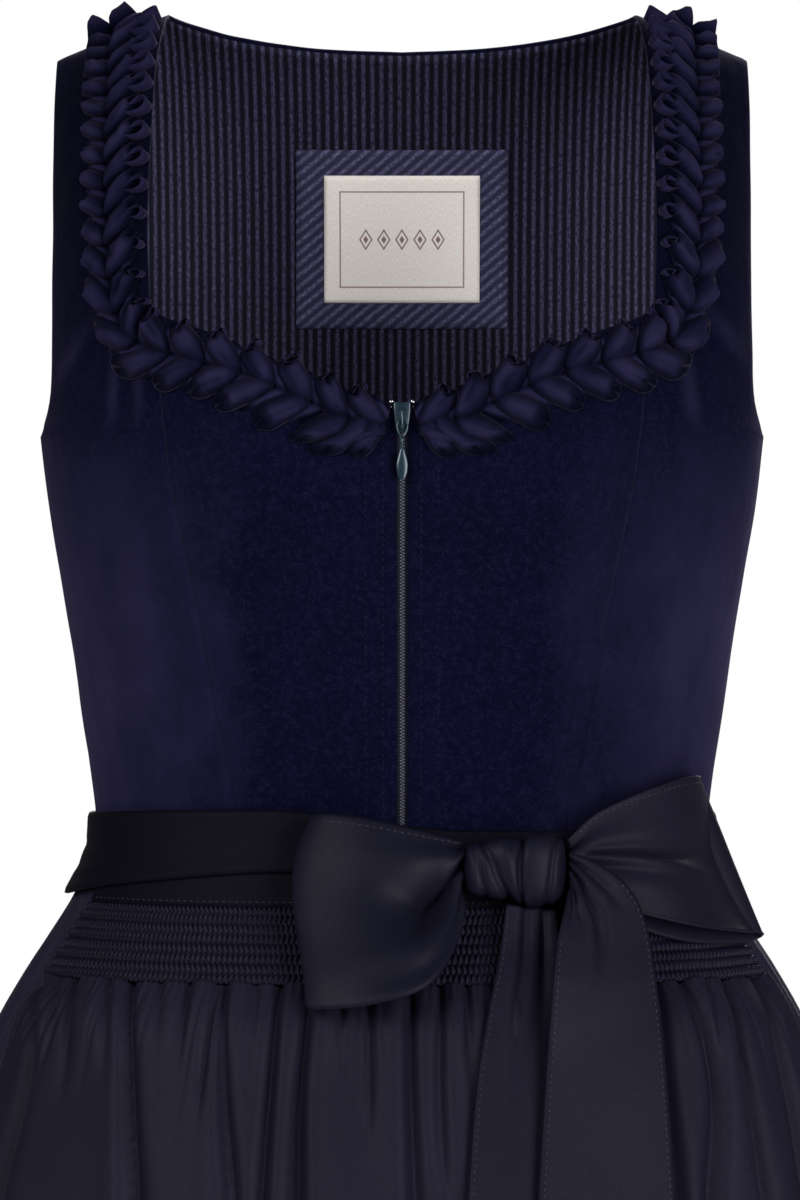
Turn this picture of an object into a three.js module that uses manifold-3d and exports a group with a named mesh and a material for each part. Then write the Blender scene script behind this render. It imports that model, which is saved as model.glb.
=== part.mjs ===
// A sleeveless velvet dirndl with a satin apron, its tie band and its bow, filled out as worn and hollow.
// Millimetres, +Z up. The front faces -Y and the wearer's left is +X, which is on the right from the front.
// The origin lies midway between the two shoulder seams, where the wearer's shoulders carry the dress.
import * as THREE from "three";
import { mergeVertices } from "three/addons/utils/BufferGeometryUtils.js";
import Module from "manifold-3d";

const wasm = await Module();
wasm.setup();

// Driving sizes. Cloth walls are given with their gaps, and a lift is a distance out from a surface.
const wall = { velvet: 1.8, lining: 1, satin: 1.8, skirt: 1.8, ribbon: 1.9 };
const gap = 0.3;
const underarmZ = -190;
const waistZ = -371.9;
const skirtTopZ = -372.3;
const bandFootZ = -395.6;
const smockFootZ = -427;
const apronHemZ = -1048;
const skirtHemZ = -1075;

// The bodice from the waist to the underarm: half its width, and its depths in front and behind.
const bodiceRows = [
  { z: -372, halfWidth: 136.2, front: 91.5, back: 85.5 },
  { z: -352, halfWidth: 138, front: 92.5, back: 87 },
  { z: -320, halfWidth: 142.8, front: 97, back: 89.5 },
  { z: -285, halfWidth: 147.8, front: 104, back: 93 },
  { z: -250, halfWidth: 153.6, front: 112, back: 99.2 },
  { z: -215, halfWidth: 159.2, front: 118, back: 104.5 },
  { z: -190, halfWidth: 162, front: 118, back: 106 },
];
const bodiceRound = 2.5;
const frontArch = 2.2;
const backArch = 3.4;
const shoulder = { inner: 105, fall: 0.4 };
const bust = { x: 74, z: -212, wide: 46, high: 48, lift: 7 };

// The apron's and skirt's smooth outer surface, from the hem to the top of the tie band.
const hipRows = [
  { z: -1075, halfWidth: 310, front: 240, back: 246, round: 2.05 },
  { z: -900, halfWidth: 286, front: 221, back: 226, round: 2.05 },
  { z: -760, halfWidth: 263, front: 202, back: 205, round: 2.08 },
  { z: -640, halfWidth: 240, front: 184, back: 184, round: 2.12 },
  { z: -550, halfWidth: 219, front: 166, back: 164, round: 2.18 },
  { z: -490, halfWidth: 201, front: 151, back: 148, round: 2.25 },
  { z: -455, halfWidth: 188, front: 139, back: 135, round: 2.3 },
  { z: -427, halfWidth: 172.5, front: 125, back: 121, round: 2.35 },
  { z: -409, halfWidth: 160, front: 113, back: 109, round: 2.4 },
  { z: -396, halfWidth: 151, front: 106, back: 100, round: 2.45 },
  { z: -384, halfWidth: 144.5, front: 100.5, back: 94, round: 2.5 },
  { z: -372, halfWidth: 139.8, front: 97, back: 90, round: 2.5 },
  { z: -352, halfWidth: 138.8, front: 93.8, back: 88, round: 2.5 },
  { z: -340, halfWidth: 138.8, front: 93.6, back: 88, round: 2.5 },
];

// Seams and edges of the bodice, by height z, by distance x from the middle, or by climb.
// Climb runs from -1 at the waist to 0 at the underarm and 1 on the shoulder.
const princessSeam = [
  { z: -372, x: 71.5 },
  { z: -351, x: 73 },
  { z: -321, x: 79.5 },
  { z: -262, x: 90 },
  { z: -219, x: 99 },
  { z: -180, x: 104.5 },
  { z: -132, x: 110 },
];
const sweetheart = [
  { x: 0, z: -178 },
  { x: 9, z: -177 },
  { x: 20, z: -170.5 },
  { x: 48, z: -159.5 },
  { x: 74, z: -148 },
  { x: 95, z: -142 },
  { x: 105, z: -138 },
  { x: 110, z: -132 },
];
const neckCornerZ = -132;
const frontNeck = [
  { climb: 0.17, x: 110 },
  { climb: 0.3, x: 111 },
  { climb: 0.5, x: 110 },
  { climb: 0.68, x: 108.5 },
  { climb: 0.82, x: 106.5 },
  { climb: 1, x: 105 },
];
const frontArmhole = [
  { z: -190, turn: 90 },
  { z: -188.4, turn: 84 },
  { z: -183.5, turn: 77.5 },
  { z: -174, turn: 73 },
  { z: -155, turn: 71.2 },
  { z: 0, turn: 71.2 },
];
const backArmhole = [
  { z: -190, turn: 90 },
  { z: -188, turn: 95 },
  { z: -183, turn: 99.5 },
  { z: -174, turn: 104 },
  { z: -157, turn: 109 },
  { z: -134, turn: 112.3 },
  { z: -95, turn: 114 },
  { z: -28, turn: 113 },
  { z: 0, turn: 108.8 },
];
const backSeam = [
  { z: -372, x: 48 },
  { z: -299, x: 56 },
  { z: -245, x: 66 },
  { z: -190, x: 78 },
  { z: -130, x: 91 },
  { z: -71, x: 104 },
  { z: -22, x: 119 },
  { z: 0, x: 128 },
];
const backNeck = [
  { x: 0, z: -12 },
  { x: 40, z: -10.5 },
  { x: 75, z: -6.5 },
  { x: 95, z: -2.4 },
  { x: 105, z: 0 },
];
const backNeckShare = 0.7365;

// The lining's patch and label, the zip, and the ruched trim along the neckline.
const patch = { halfWidth: 50, lift: -3.7, wall: 0.9 };
const label = { halfWidth: 37, lift: -5, wall: 0.8 };
const zip = { opening: 2.2, tapeHalf: 11, coilHalf: 1.4 };
const slider = { z: -184.4, halfHeight: 6.8, topHalf: 3.6, footHalf: 2.7, thick: 2.6, off: 0.4 };
const bridge = { halfWidth: 0.9, top: -181.5, foot: -189.5, leg: 1.2, reach: 3.4, bar: 1.1 };
const pull = { pivotZ: -186.5, pivotOut: 1.15, barR: 0.55, armIn: 1.5, armOut: 2.2, armFoot: -197.4 };
const drop = { top: -196.6, foot: -211.8, halfWidth: 2.6, thick: 1.4 };
const ruffle = { hearts: 22, half: 15.2, low: 1.2, high: 6.2, lean: 0.95, samples: 4 };
const rufflePath = [
  { x: 126, climb: 0.985 },
  { x: 126, climb: 0.85 },
  { x: 126.5, climb: 0.65 },
  { x: 126.5, climb: 0.45 },
  { x: 126, climb: 0.3 },
  { x: 124.5, climb: 0.2 },
  { x: 118, climb: 0.131 },
  { x: 105, climb: 0.103 },
  { x: 88, climb: 0.087 },
  { x: 68, climb: 0.068 },
  { x: 48, climb: 0.045 },
  { x: 28, climb: 0.019 },
  { x: 6, climb: 0.006 },
];

// The tie band's edges by turn: it is widest at the sides and drawn in at the bow.
const tieEdges = [
  { turn: -180, top: -359, foot: -396 },
  { turn: -90, top: -358, foot: -395 },
  { turn: -55, top: -355.5, foot: -388 },
  { turn: -25, top: -353.5, foot: -381.5 },
  { turn: 10, top: -353.5, foot: -381 },
  { turn: 45, top: -355, foot: -386 },
  { turn: 90, top: -358, foot: -395 },
  { turn: 180, top: -359, foot: -396 },
];
const tieWall = { outer: 2.4, inner: 0.5 };

// The apron spans the front, and its gathers are troughs: depth at the top, width in degrees of turn,
// the height at which each one dies out, and how much deeper it is at the hem if it reaches that far.
const apron = { from: -64, to: 66, pleats: 30, rows: 8, relief: 0.8 };
const apronFolds = [
  { turn: -59, depth: 3, wide: 2, ends: -560, grows: 1 },
  { turn: -53, depth: 5, wide: 2.4, ends: -1200, grows: 2.2 },
  { turn: -47, depth: 3.5, wide: 2, ends: -520, grows: 1 },
  { turn: -41.5, depth: 5, wide: 2.2, ends: -620, grows: 1 },
  { turn: -36.5, depth: 5.5, wide: 2, ends: -700, grows: 1 },
  { turn: -31.5, depth: 7, wide: 1.9, ends: -1200, grows: 1.8 },
  { turn: -25, depth: 4, wide: 2.2, ends: -540, grows: 1 },
  { turn: -19, depth: 6.5, wide: 1.9, ends: -1200, grows: 1.7 },
  { turn: -14, depth: 4.5, wide: 1.8, ends: -800, grows: 1 },
  { turn: -9, depth: 5, wide: 1.8, ends: -1200, grows: 2 },
  { turn: -4, depth: 4, wide: 1.7, ends: -560, grows: 1 },
  { turn: 1, depth: 6.5, wide: 1.8, ends: -1200, grows: 1.8 },
  { turn: 6, depth: 4.5, wide: 1.8, ends: -720, grows: 1 },
  { turn: 11.5, depth: 3.5, wide: 2, ends: -560, grows: 1 },
  { turn: 17, depth: 4.5, wide: 2, ends: -1200, grows: 2.2 },
  { turn: 23, depth: 3.5, wide: 2, ends: -600, grows: 1 },
  { turn: 29, depth: 4.5, wide: 2, ends: -1200, grows: 2.2 },
  { turn: 35, depth: 5.5, wide: 2, ends: -640, grows: 1 },
  { turn: 40, depth: 6, wide: 1.8, ends: -1200, grows: 1.8 },
  { turn: 45, depth: 7, wide: 1.8, ends: -1200, grows: 1.5 },
  { turn: 51.5, depth: 4, wide: 2.2, ends: -620, grows: 1 },
  { turn: 58, depth: 5, wide: 2.2, ends: -1200, grows: 2.2 },
];
const skirtFolds = { from: 71, step: 9.48, count: 24, depth: 6, sway: 2, wide: 3.1, grows: 2 };

// The bow's parts as stations along each band: x and z of its two long edges, and its stand-off.
const leftLoop = [
  { topX: 25.6, top: -367, footX: 25.6, foot: -387, out: 13 },
  { topX: 17, top: -364.5, footX: 22, foot: -408, out: 17 },
  { topX: 2, top: -360.5, footX: 10, foot: -427, out: 23 },
  { topX: -16, top: -356.5, footX: -12, foot: -434, out: 24 },
  { topX: -31, top: -354.5, footX: -31, foot: -436, out: 20 },
  { topX: -38.5, top: -355, footX: -41, foot: -436, out: 13.5 },
  { topX: -34, top: -356.5, footX: -34, foot: -434.5, out: 7 },
  { topX: -18, top: -359.5, footX: -14, foot: -430, out: 4.6 },
  { topX: 4, top: -364, footX: 10, foot: -420, out: 4.4 },
  { topX: 25.6, top: -369, footX: 25.6, foot: -385, out: 5 },
];
const rightLoop = [
  { topX: 71.9, top: -367, footX: 71.9, foot: -385, out: 13 },
  { topX: 84, top: -355.5, footX: 86, foot: -393, out: 16 },
  { topX: 102, top: -347, footX: 106, foot: -399, out: 20 },
  { topX: 119, top: -341.5, footX: 128, foot: -404.5, out: 21 },
  { topX: 128, top: -340, footX: 147, foot: -409.5, out: 18 },
  { topX: 130, top: -341, footX: 153, foot: -411.5, out: 11 },
  { topX: 124, top: -343, footX: 146, foot: -413, out: 5.4 },
  { topX: 108, top: -349, footX: 122, foot: -410.5, out: 4.8 },
  { topX: 90, top: -358, footX: 98, foot: -402, out: 5 },
  { topX: 71.9, top: -369, footX: 71.9, foot: -383, out: 5 },
];
const knot = [
  { x: 26.7, z: -377.5, high: 8, deep: 6 },
  { x: 31, z: -377.8, high: 11.5, deep: 9.5 },
  { x: 41, z: -378.5, high: 13, deep: 11 },
  { x: 51.5, z: -379, high: 13.5, deep: 11 },
  { x: 54.5, z: -379, high: 16, deep: 12.5 },
  { x: 61, z: -379, high: 16.5, deep: 13 },
  { x: 67.5, z: -378.5, high: 14.5, deep: 11 },
  { x: 70.8, z: -377.8, high: 9, deep: 6 },
];
const knotOut = 14;
const leftTail = [
  { left: 45, leftZ: -393.6, right: 61, rightZ: -396.2, out: 10 },
  { left: 42, leftZ: -415, right: 62.5, rightZ: -415, out: 5.5 },
  { left: 36.5, leftZ: -440, right: 65, rightZ: -440, out: 3.5 },
  { left: 31.5, leftZ: -470, right: 67, rightZ: -470, out: 2.6 },
  { left: 27.5, leftZ: -520, right: 68, rightZ: -520, out: 2.4 },
  { left: 22, leftZ: -610, right: 70, rightZ: -610, out: 2.4 },
  { left: 14, leftZ: -720, right: 72, rightZ: -720, out: 2.4 },
  { left: 8, leftZ: -812, right: 74, rightZ: -830, out: 2.4 },
];
const rightTail = [
  { left: 71.6, leftZ: -389.5, right: 71.6, rightZ: -371.5, out: 19.5 },
  { left: 68, leftZ: -401, right: 84, rightZ: -376, out: 27 },
  { left: 66, leftZ: -411, right: 97, rightZ: -386, out: 27 },
  { left: 64.5, leftZ: -423, right: 104.5, rightZ: -400, out: 24 },
  { left: 63, leftZ: -440, right: 108, rightZ: -420, out: 18 },
  { left: 61, leftZ: -464, right: 111.5, rightZ: -450, out: 11 },
  { left: 57, leftZ: -520, right: 116, rightZ: -515, out: 7 },
  { left: 51, leftZ: -620, right: 122, rightZ: -620, out: 7 },
  { left: 46, leftZ: -740, right: 127, rightZ: -740, out: 7 },
  { left: 42, leftZ: -866, right: 131, rightZ: -848, out: 7 },
];

const velvet = new THREE.MeshStandardMaterial({ color: 0x15142e, roughness: 0.95, metalness: 0 });
const satin = new THREE.MeshStandardMaterial({ color: 0x24222f, roughness: 0.5, metalness: 0 });
const skirtCloth = new THREE.MeshStandardMaterial({ color: 0x22212f, roughness: 0.6, metalness: 0 });
const liningCloth = new THREE.MeshStandardMaterial({ color: 0x1f1e33, roughness: 0.8, metalness: 0 });
const labelCloth = new THREE.MeshStandardMaterial({ color: 0xc9c1bb, roughness: 0.7, metalness: 0 });
const lacquer = new THREE.MeshStandardMaterial({ color: 0x0c2a3c, roughness: 0.2, metalness: 0.6 });
const coilNylon = new THREE.MeshStandardMaterial({ color: 0x5a5c68, roughness: 0.4, metalness: 0 });
const tapeCloth = new THREE.MeshStandardMaterial({ color: 0x141426, roughness: 0.9, metalness: 0 });

const degrees = Math.PI / 180;
const mix = THREE.MathUtils.lerp;
const power = (value, by) => Math.sign(value) * Math.abs(value) ** by;
const shares = (count) => Array.from({ length: count + 1 }, (_, i) => i / count);

// One column of a table, read at a value of its key on a smooth curve through the rows.
function read(rows, key, at, column) {
  const last = rows.length - 1;
  let i = 0;
  while (i < last - 1 && at > rows[i + 1][key]) i += 1;
  const slope = (a, b) => (rows[b][column] - rows[a][column]) / (rows[b][key] - rows[a][key]);
  const step = rows[i + 1][key] - rows[i][key];
  const t = THREE.MathUtils.clamp((at - rows[i][key]) / step, 0, 1);
  const start = slope(Math.max(i - 1, 0), i + 1) * step;
  const end = slope(i, Math.min(i + 2, last)) * step;
  const rise = rows[i + 1][column] - rows[i][column];
  return rows[i][column] + t * (start + t * (3 * rise - 2 * start - end + t * (start + end - 2 * rise)));
}

// A point of a rounded ring at a turn in degrees: 0 is the centre front, 90 the wearer's left side.
function onRing(turn, halfWidth, front, back, round) {
  const across = power(Math.sin(turn * degrees), 2 / round);
  const ahead = power(Math.cos(turn * degrees), 2 / round);
  return [halfWidth * across, -ahead * (ahead > 0 ? front : back)];
}

const turnOf = (x, halfWidth, round) =>
  (Math.sign(x) * Math.asin(Math.min(1, (Math.abs(x) / halfWidth) ** (round / 2)))) / degrees;
const ridgeZ = (x) => -shoulder.fall * Math.max(0, Math.abs(x) - shoulder.inner);
const bustLift = (x, z) =>
  bust.lift * Math.exp(-(((Math.abs(x) - bust.x) / bust.wide) ** 2) - ((z - bust.z) / bust.high) ** 2);

// The bodice's outer surface at a turn and a climb.
function onBodice(turn, climb) {
  const level = climb < 0 ? mix(underarmZ, waistZ, -climb) : underarmZ;
  const size = (column) => read(bodiceRows, "z", level, column);
  const [x, y] = onRing(turn, size("halfWidth"), size("front"), size("back"), bodiceRound);
  const arch = Math.max(climb, 0) * 90 * degrees;
  const rise = Math.abs(Math.sin(arch)) ** (2 / (y < 0 ? frontArch : backArch));
  const z = climb < 0 ? level : underarmZ + (ridgeZ(x) - underarmZ) * rise;
  return new THREE.Vector3(x, y * Math.cos(arch) - (y < 0 ? bustLift(x, z) : 0), z);
}

function climbOf(x, z, arch) {
  if (z < underarmZ) return (z - underarmZ) / (underarmZ - waistZ);
  const rise = (z - underarmZ) / (ridgeZ(x) - underarmZ);
  return Math.asin(Math.min(1, rise ** (arch / 2))) / (90 * degrees);
}

function bodiceTurn(x, climb) {
  const level = climb < 0 ? mix(underarmZ, waistZ, -climb) : underarmZ;
  return turnOf(x, read(bodiceRows, "z", level, "halfWidth"), bodiceRound);
}

// The apron's smooth outer surface at a turn and a height.
function onHip(turn, z) {
  const size = (column) => read(hipRows, "z", z, column);
  const [x, y] = onRing(turn, size("halfWidth"), size("front"), size("back"), size("round"));
  return new THREE.Vector3(x, y, z);
}

// A surface's point moved out along its normal.
function movedOut(surface, a, b, lift, stepA = 0.4, stepB = 0.004) {
  const along = surface(a + stepA, b).sub(surface(a - stepA, b));
  const up = surface(a, b + stepB).sub(surface(a, b - stepB));
  return surface(a, b).addScaledVector(along.cross(up).normalize(), lift);
}

const bodiceAt = (turn, climb, lift) => movedOut(onBodice, turn, climb, lift);
const hipAt = (turn, z, lift) => movedOut(onHip, turn, z, lift, 0.4, 1);

// Triangles between two edges that run side by side, the first one an edge of the outer face.
function seal(triangles, outer, inner) {
  let a = 0;
  let b = 0;
  while (a < outer.length - 1 || b < inner.length - 1) {
    const nextA = (a + 1) / (outer.length - 1);
    const nextB = (b + 1) / (inner.length - 1);
    if (b === inner.length - 1 || (a < outer.length - 1 && nextA <= nextB)) {
      triangles.push(outer[a + 1], outer[a], inner[b]);
      a += 1;
    } else {
      triangles.push(outer[a], inner[b], inner[b + 1]);
      b += 1;
    }
  }
}

function face(triangles, grid, outward) {
  for (let i = 0; i < grid.length - 1; i += 1)
    for (let j = 0; j < grid[0].length - 1; j += 1) {
      const [a, b, c, d] = [grid[i][j], grid[i][j + 1], grid[i + 1][j + 1], grid[i + 1][j]];
      triangles.push(...(outward ? [a, b, c, a, c, d] : [a, c, b, a, d, c]));
    }
}

function meshOf(name, triangles, material) {
  const positions = triangles.flatMap((p) => [p.x, p.y, p.z]);
  const raw = new THREE.BufferGeometry();
  raw.setAttribute("position", new THREE.Float32BufferAttribute(positions, 3));
  const geometry = mergeVertices(raw, 1e-4);
  geometry.computeVertexNormals();
  const mesh = new THREE.Mesh(geometry, material);
  mesh.name = name;
  return mesh;
}

// A wall between an outer and an inner grid of points, rows upwards and columns in the sense of turn.
function wallMesh(name, outer, inner, material, ring = false) {
  const triangles = [];
  const column = (grid, j) => grid.map((row) => row[j]);
  face(triangles, outer, true);
  face(triangles, inner, false);
  seal(triangles, outer[0], inner[0]);
  seal(triangles, [...outer.at(-1)].reverse(), [...inner.at(-1)].reverse());
  if (!ring) {
    seal(triangles, column(outer, outer[0].length - 1), column(inner, inner[0].length - 1));
    seal(triangles, column(outer, 0).reverse(), column(inner, 0).reverse());
  }
  return meshOf(name, triangles, material);
}

const gridOf = (rows, columns, at) => rows.map((r) => columns.map((c) => at(c, r)));

// A bodice piece: place turns a share across and a row into a turn and a climb.
function bodicePiece(name, rows, columns, place, lift, thick, material) {
  const at = (out) => (c, r) => bodiceAt(...place(c, r), out);
  return wallMesh(name, gridOf(rows, columns, at(lift)), gridOf(rows, columns, at(lift - thick)), material);
}

const cornerClimb = climbOf(110, neckCornerZ, frontArch);
const frontRows = [-1, -0.8, -0.6, -0.42, -0.26, -0.12, 0, 0.008, 0.022, 0.045, 0.1, cornerClimb];
const strapRows = [0.25, 0.35, 0.46, 0.58, 0.7, 0.81, 0.91, 0.9975];
const patchRows = [0.255, 0.35, 0.45, 0.54, 0.63];
const backRows = [-1, -0.68, -0.36, 0, 0.0018, 0.008, 0.03, 0.08, 0.16, ...patchRows, 0.74, 0.84, 0.92, 1];
const seamTurn = 0.075;
const sideTurn = 0.02;
const heightAt = (climb) => onBodice(0, climb).z;
const backHeightAt = (climb) => onBodice(180, climb).z;

const princessTurn = (climb) => bodiceTurn(read(princessSeam, "z", heightAt(climb), "x"), climb);

// The centre front: its columns run from the zip to the princess seam and end on the sweetheart edge.
function frontCentre(side, name) {
  const topOf = (share) => {
    let z = neckCornerZ;
    for (let i = 0; i < 6; i += 1)
      z = read(sweetheart, "x", mix(zip.opening, read(princessSeam, "z", z, "x"), share), "z");
    return share === 1 ? cornerClimb : climbOf(0, z, frontArch);
  };
  const place = (share, row) => {
    const climb = mix(-1, topOf(share), (row + 1) / (cornerClimb + 1));
    const turn = mix(bodiceTurn(zip.opening, climb), princessTurn(climb) - seamTurn, share);
    return [side * turn, climb];
  };
  const columns = side > 0 ? [0, 0.12, 0.3, 0.5, 0.7, 0.88, 1] : [1, 0.88, 0.7, 0.5, 0.3, 0.12, 0];
  return bodicePiece(name, frontRows, columns, place, 0, wall.velvet, velvet);
}

// The side front, which runs on upwards as the shoulder strap.
function frontSide(side, name) {
  const place = (share, climb) => {
    const neck = bodiceTurn(read(frontNeck, "climb", climb, "x"), climb);
    const inner = climb < cornerClimb ? princessTurn(climb) + seamTurn : neck;
    const outer = climb < 0 ? 90 - sideTurn : read(frontArmhole, "z", heightAt(climb), "turn") - sideTurn;
    return [side * mix(inner, outer, share), climb];
  };
  const columns = side > 0 ? [0, 0.17, 0.36, 0.57, 0.8, 1] : [1, 0.8, 0.57, 0.36, 0.17, 0];
  return bodicePiece(name, [...frontRows, ...strapRows], columns, place, 0, wall.velvet, velvet);
}

const backSeamTurn = (climb) => 180 - bodiceTurn(read(backSeam, "z", backHeightAt(climb), "x"), climb);
const backEdgeTurn = (climb) => (climb < 0 ? 90 : read(backArmhole, "z", backHeightAt(climb), "turn")) + sideTurn;

// The climb at which the back ends for a share of the way to its seam: the neck edge, or the shoulder.
function backTop(share) {
  let climb = 0.8;
  for (let i = 0; i < 8; i += 1) {
    const { x } = onBodice(Math.abs(share) * (180 - backSeamTurn(climb)), climb);
    climb = x > shoulder.inner ? 1 : climbOf(x, read(backNeck, "x", x, "z"), backArch);
  }
  return climb;
}

const backClimb = (top, row) => mix(-1, top, (row + 1) / 2);
const centreHalf = [0, 0.2, 0.4, 0.58, backNeckShare, 0.87, 1];
const sideHalf = [0, 0.28, 0.55, 0.78, 1];
const mirrored = (half) => [...half.slice(1).reverse().map((s) => -s), ...half];

function backSide(side, name) {
  const place = (share, climb) => [side * mix(backEdgeTurn(climb), backSeamTurn(climb) - seamTurn, share), climb];
  const columns = side > 0 ? sideHalf : [...sideHalf].reverse();
  return bodicePiece(name, backRows, columns, place, 0, wall.velvet, velvet);
}

function centreBackPlace(share, row, off) {
  const climb = backClimb(backTop(share), row);
  return [180 + share * (180 - backSeamTurn(climb) - off), climb];
}

function backCentre() {
  const place = (share, row) => centreBackPlace(share, row, seamTurn);
  return bodicePiece("bodice_back_centre", backRows, mirrored(centreHalf), place, 0, wall.velvet, velvet);
}

// The striped lining lies inside the whole back, on the panels' own points, and shows through the neckline.
function backLining() {
  const columns = mirrored([...centreHalf, ...sideHalf.slice(0, -1).reverse().map((s) => 2 - s)]);
  const place = (share, row) => {
    if (Math.abs(share) <= 1) return centreBackPlace(share, row, seamTurn);
    const turn = mix(backEdgeTurn(row), backSeamTurn(row) - seamTurn, 2 - Math.abs(share));
    return [share < 0 ? turn : 360 - turn, row];
  };
  return bodicePiece("lining_back", backRows, columns, place, -wall.velvet - gap, wall.lining, liningCloth);
}

// A rectangle that lies on the inside of the lining.
function onLining(name, size, material) {
  const place = (x, row) => {
    const climb = backClimb(climbOf(x, read(backNeck, "x", Math.abs(x), "z"), backArch), row);
    return [180 - bodiceTurn(x, climb), climb];
  };
  const columns = shares(6).map((s) => mix(size.halfWidth, -size.halfWidth, s));
  return bodicePiece(name, size.rows, columns, place, size.lift, size.wall, material);
}

// A strip down the centre front, for the zip's tape and its coil.
function frontStrip(name, half, lift, thick, material) {
  const top = climbOf(0, read(sweetheart, "x", zip.opening, "z"), frontArch);
  const place = (x, row) => {
    const climb = mix(-1, top, (row + 1) / (cornerClimb + 1));
    return [bodiceTurn(x, climb), climb];
  };
  return bodicePiece(name, frontRows, [-half, 0, half], place, lift, thick, material);
}

const solidOf = (geometry) => {
  const bare = (geometry.index ? geometry.toNonIndexed() : geometry).clone();
  bare.deleteAttribute("normal");
  bare.deleteAttribute("uv");
  const merged = mergeVertices(bare, 1e-4);
  const vertProperties = merged.attributes.position.array;
  return new wasm.Manifold(new wasm.Mesh({ numProp: 3, vertProperties, triVerts: new Uint32Array(merged.index.array) }));
};

function meshFrom(name, solid, material) {
  const data = solid.getMesh();
  const geometry = new THREE.BufferGeometry();
  geometry.setAttribute("position", new THREE.BufferAttribute(new Float32Array(data.vertProperties), 3));
  geometry.setIndex(new THREE.BufferAttribute(new Uint32Array(data.triVerts), 1));
  geometry.computeVertexNormals();
  const mesh = new THREE.Mesh(geometry, material);
  mesh.name = name;
  return mesh;
}

// An outline in x and z, given thickness along Y from its front face backwards.
function slab(outline, frontY, thick) {
  const shape = new THREE.Shape(outline.map(([x, z]) => new THREE.Vector2(x, z)));
  const geometry = new THREE.ExtrudeGeometry(shape, { depth: thick, bevelEnabled: false });
  geometry.rotateX(Math.PI / 2);
  geometry.translate(0, frontY + thick, 0);
  return geometry;
}

function block(x0, x1, y0, y1, z0, z1) {
  const geometry = new THREE.BoxGeometry(x1 - x0, y1 - y0, z1 - z0);
  geometry.translate((x0 + x1) / 2, (y0 + y1) / 2, (z0 + z1) / 2);
  return geometry;
}

const zipFrontY = onBodice(0, climbOf(0, slider.z, frontArch)).y;
const sliderFace = zipFrontY - slider.off - slider.thick;

// The slider: a tapered body with a staple on its face for the pull.
function zipSlider() {
  const top = slider.z + slider.halfHeight;
  const foot = slider.z - slider.halfHeight;
  const waist = mix(top, foot, 0.45);
  const outline = [
    [-slider.topHalf, top],
    [-slider.topHalf, waist],
    [-slider.footHalf, foot],
    [slider.footHalf, foot],
    [slider.topHalf, waist],
    [slider.topHalf, top],
  ];
  const { halfWidth, leg, reach, bar } = bridge;
  const pieces = [
    block(-halfWidth, halfWidth, sliderFace - reach, sliderFace + 0.5, bridge.top - leg, bridge.top),
    block(-halfWidth, halfWidth, sliderFace - reach, sliderFace + 0.5, bridge.foot, bridge.foot + leg),
    block(-halfWidth, halfWidth, sliderFace - reach, sliderFace - reach + bar, bridge.foot, bridge.top),
  ];
  const body = solidOf(slab(outline, sliderFace, slider.thick));
  return meshFrom("zip_slider", pieces.reduce((all, piece) => all.add(solidOf(piece)), body), lacquer);
}

// The pull tab: a bar through the staple, two arms, and a drop.
function zipPull() {
  const y = sliderFace - pull.pivotOut;
  const bar = new THREE.CylinderGeometry(pull.barR, pull.barR, 2 * pull.armOut, 10);
  bar.rotateZ(Math.PI / 2);
  bar.translate(0, y, pull.pivotZ);
  const length = drop.top - drop.foot;
  const half = shares(9).map((s) => {
    const swell = Math.sin(Math.PI * Math.min(1, 0.16 + 0.84 * s)) ** 0.75;
    return [Math.max(0.7, drop.halfWidth * swell * (0.72 + 0.28 * s)), drop.top - length * s];
  });
  half[9][0] = 0.9;
  const outline = [...half.map(([x, z]) => [-x, z]), ...[...half].reverse()];
  const arm = (side) => {
    const xs = [side * pull.armIn, side * pull.armOut].sort((a, b) => a - b);
    return solidOf(block(xs[0], xs[1], y - 0.5, y + 0.5, pull.armFoot, pull.pivotZ + 0.2));
  };
  const tie = block(-pull.armOut, pull.armOut, y - 0.5, y + 0.5, pull.armFoot - 0.9, pull.armFoot + 0.4);
  const body = solidOf(slab(outline, y - drop.thick / 2, drop.thick));
  return meshFrom("zip_pull", body.add(solidOf(tie)).add(solidOf(bar)).add(arm(1)).add(arm(-1)), lacquer);
}

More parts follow.
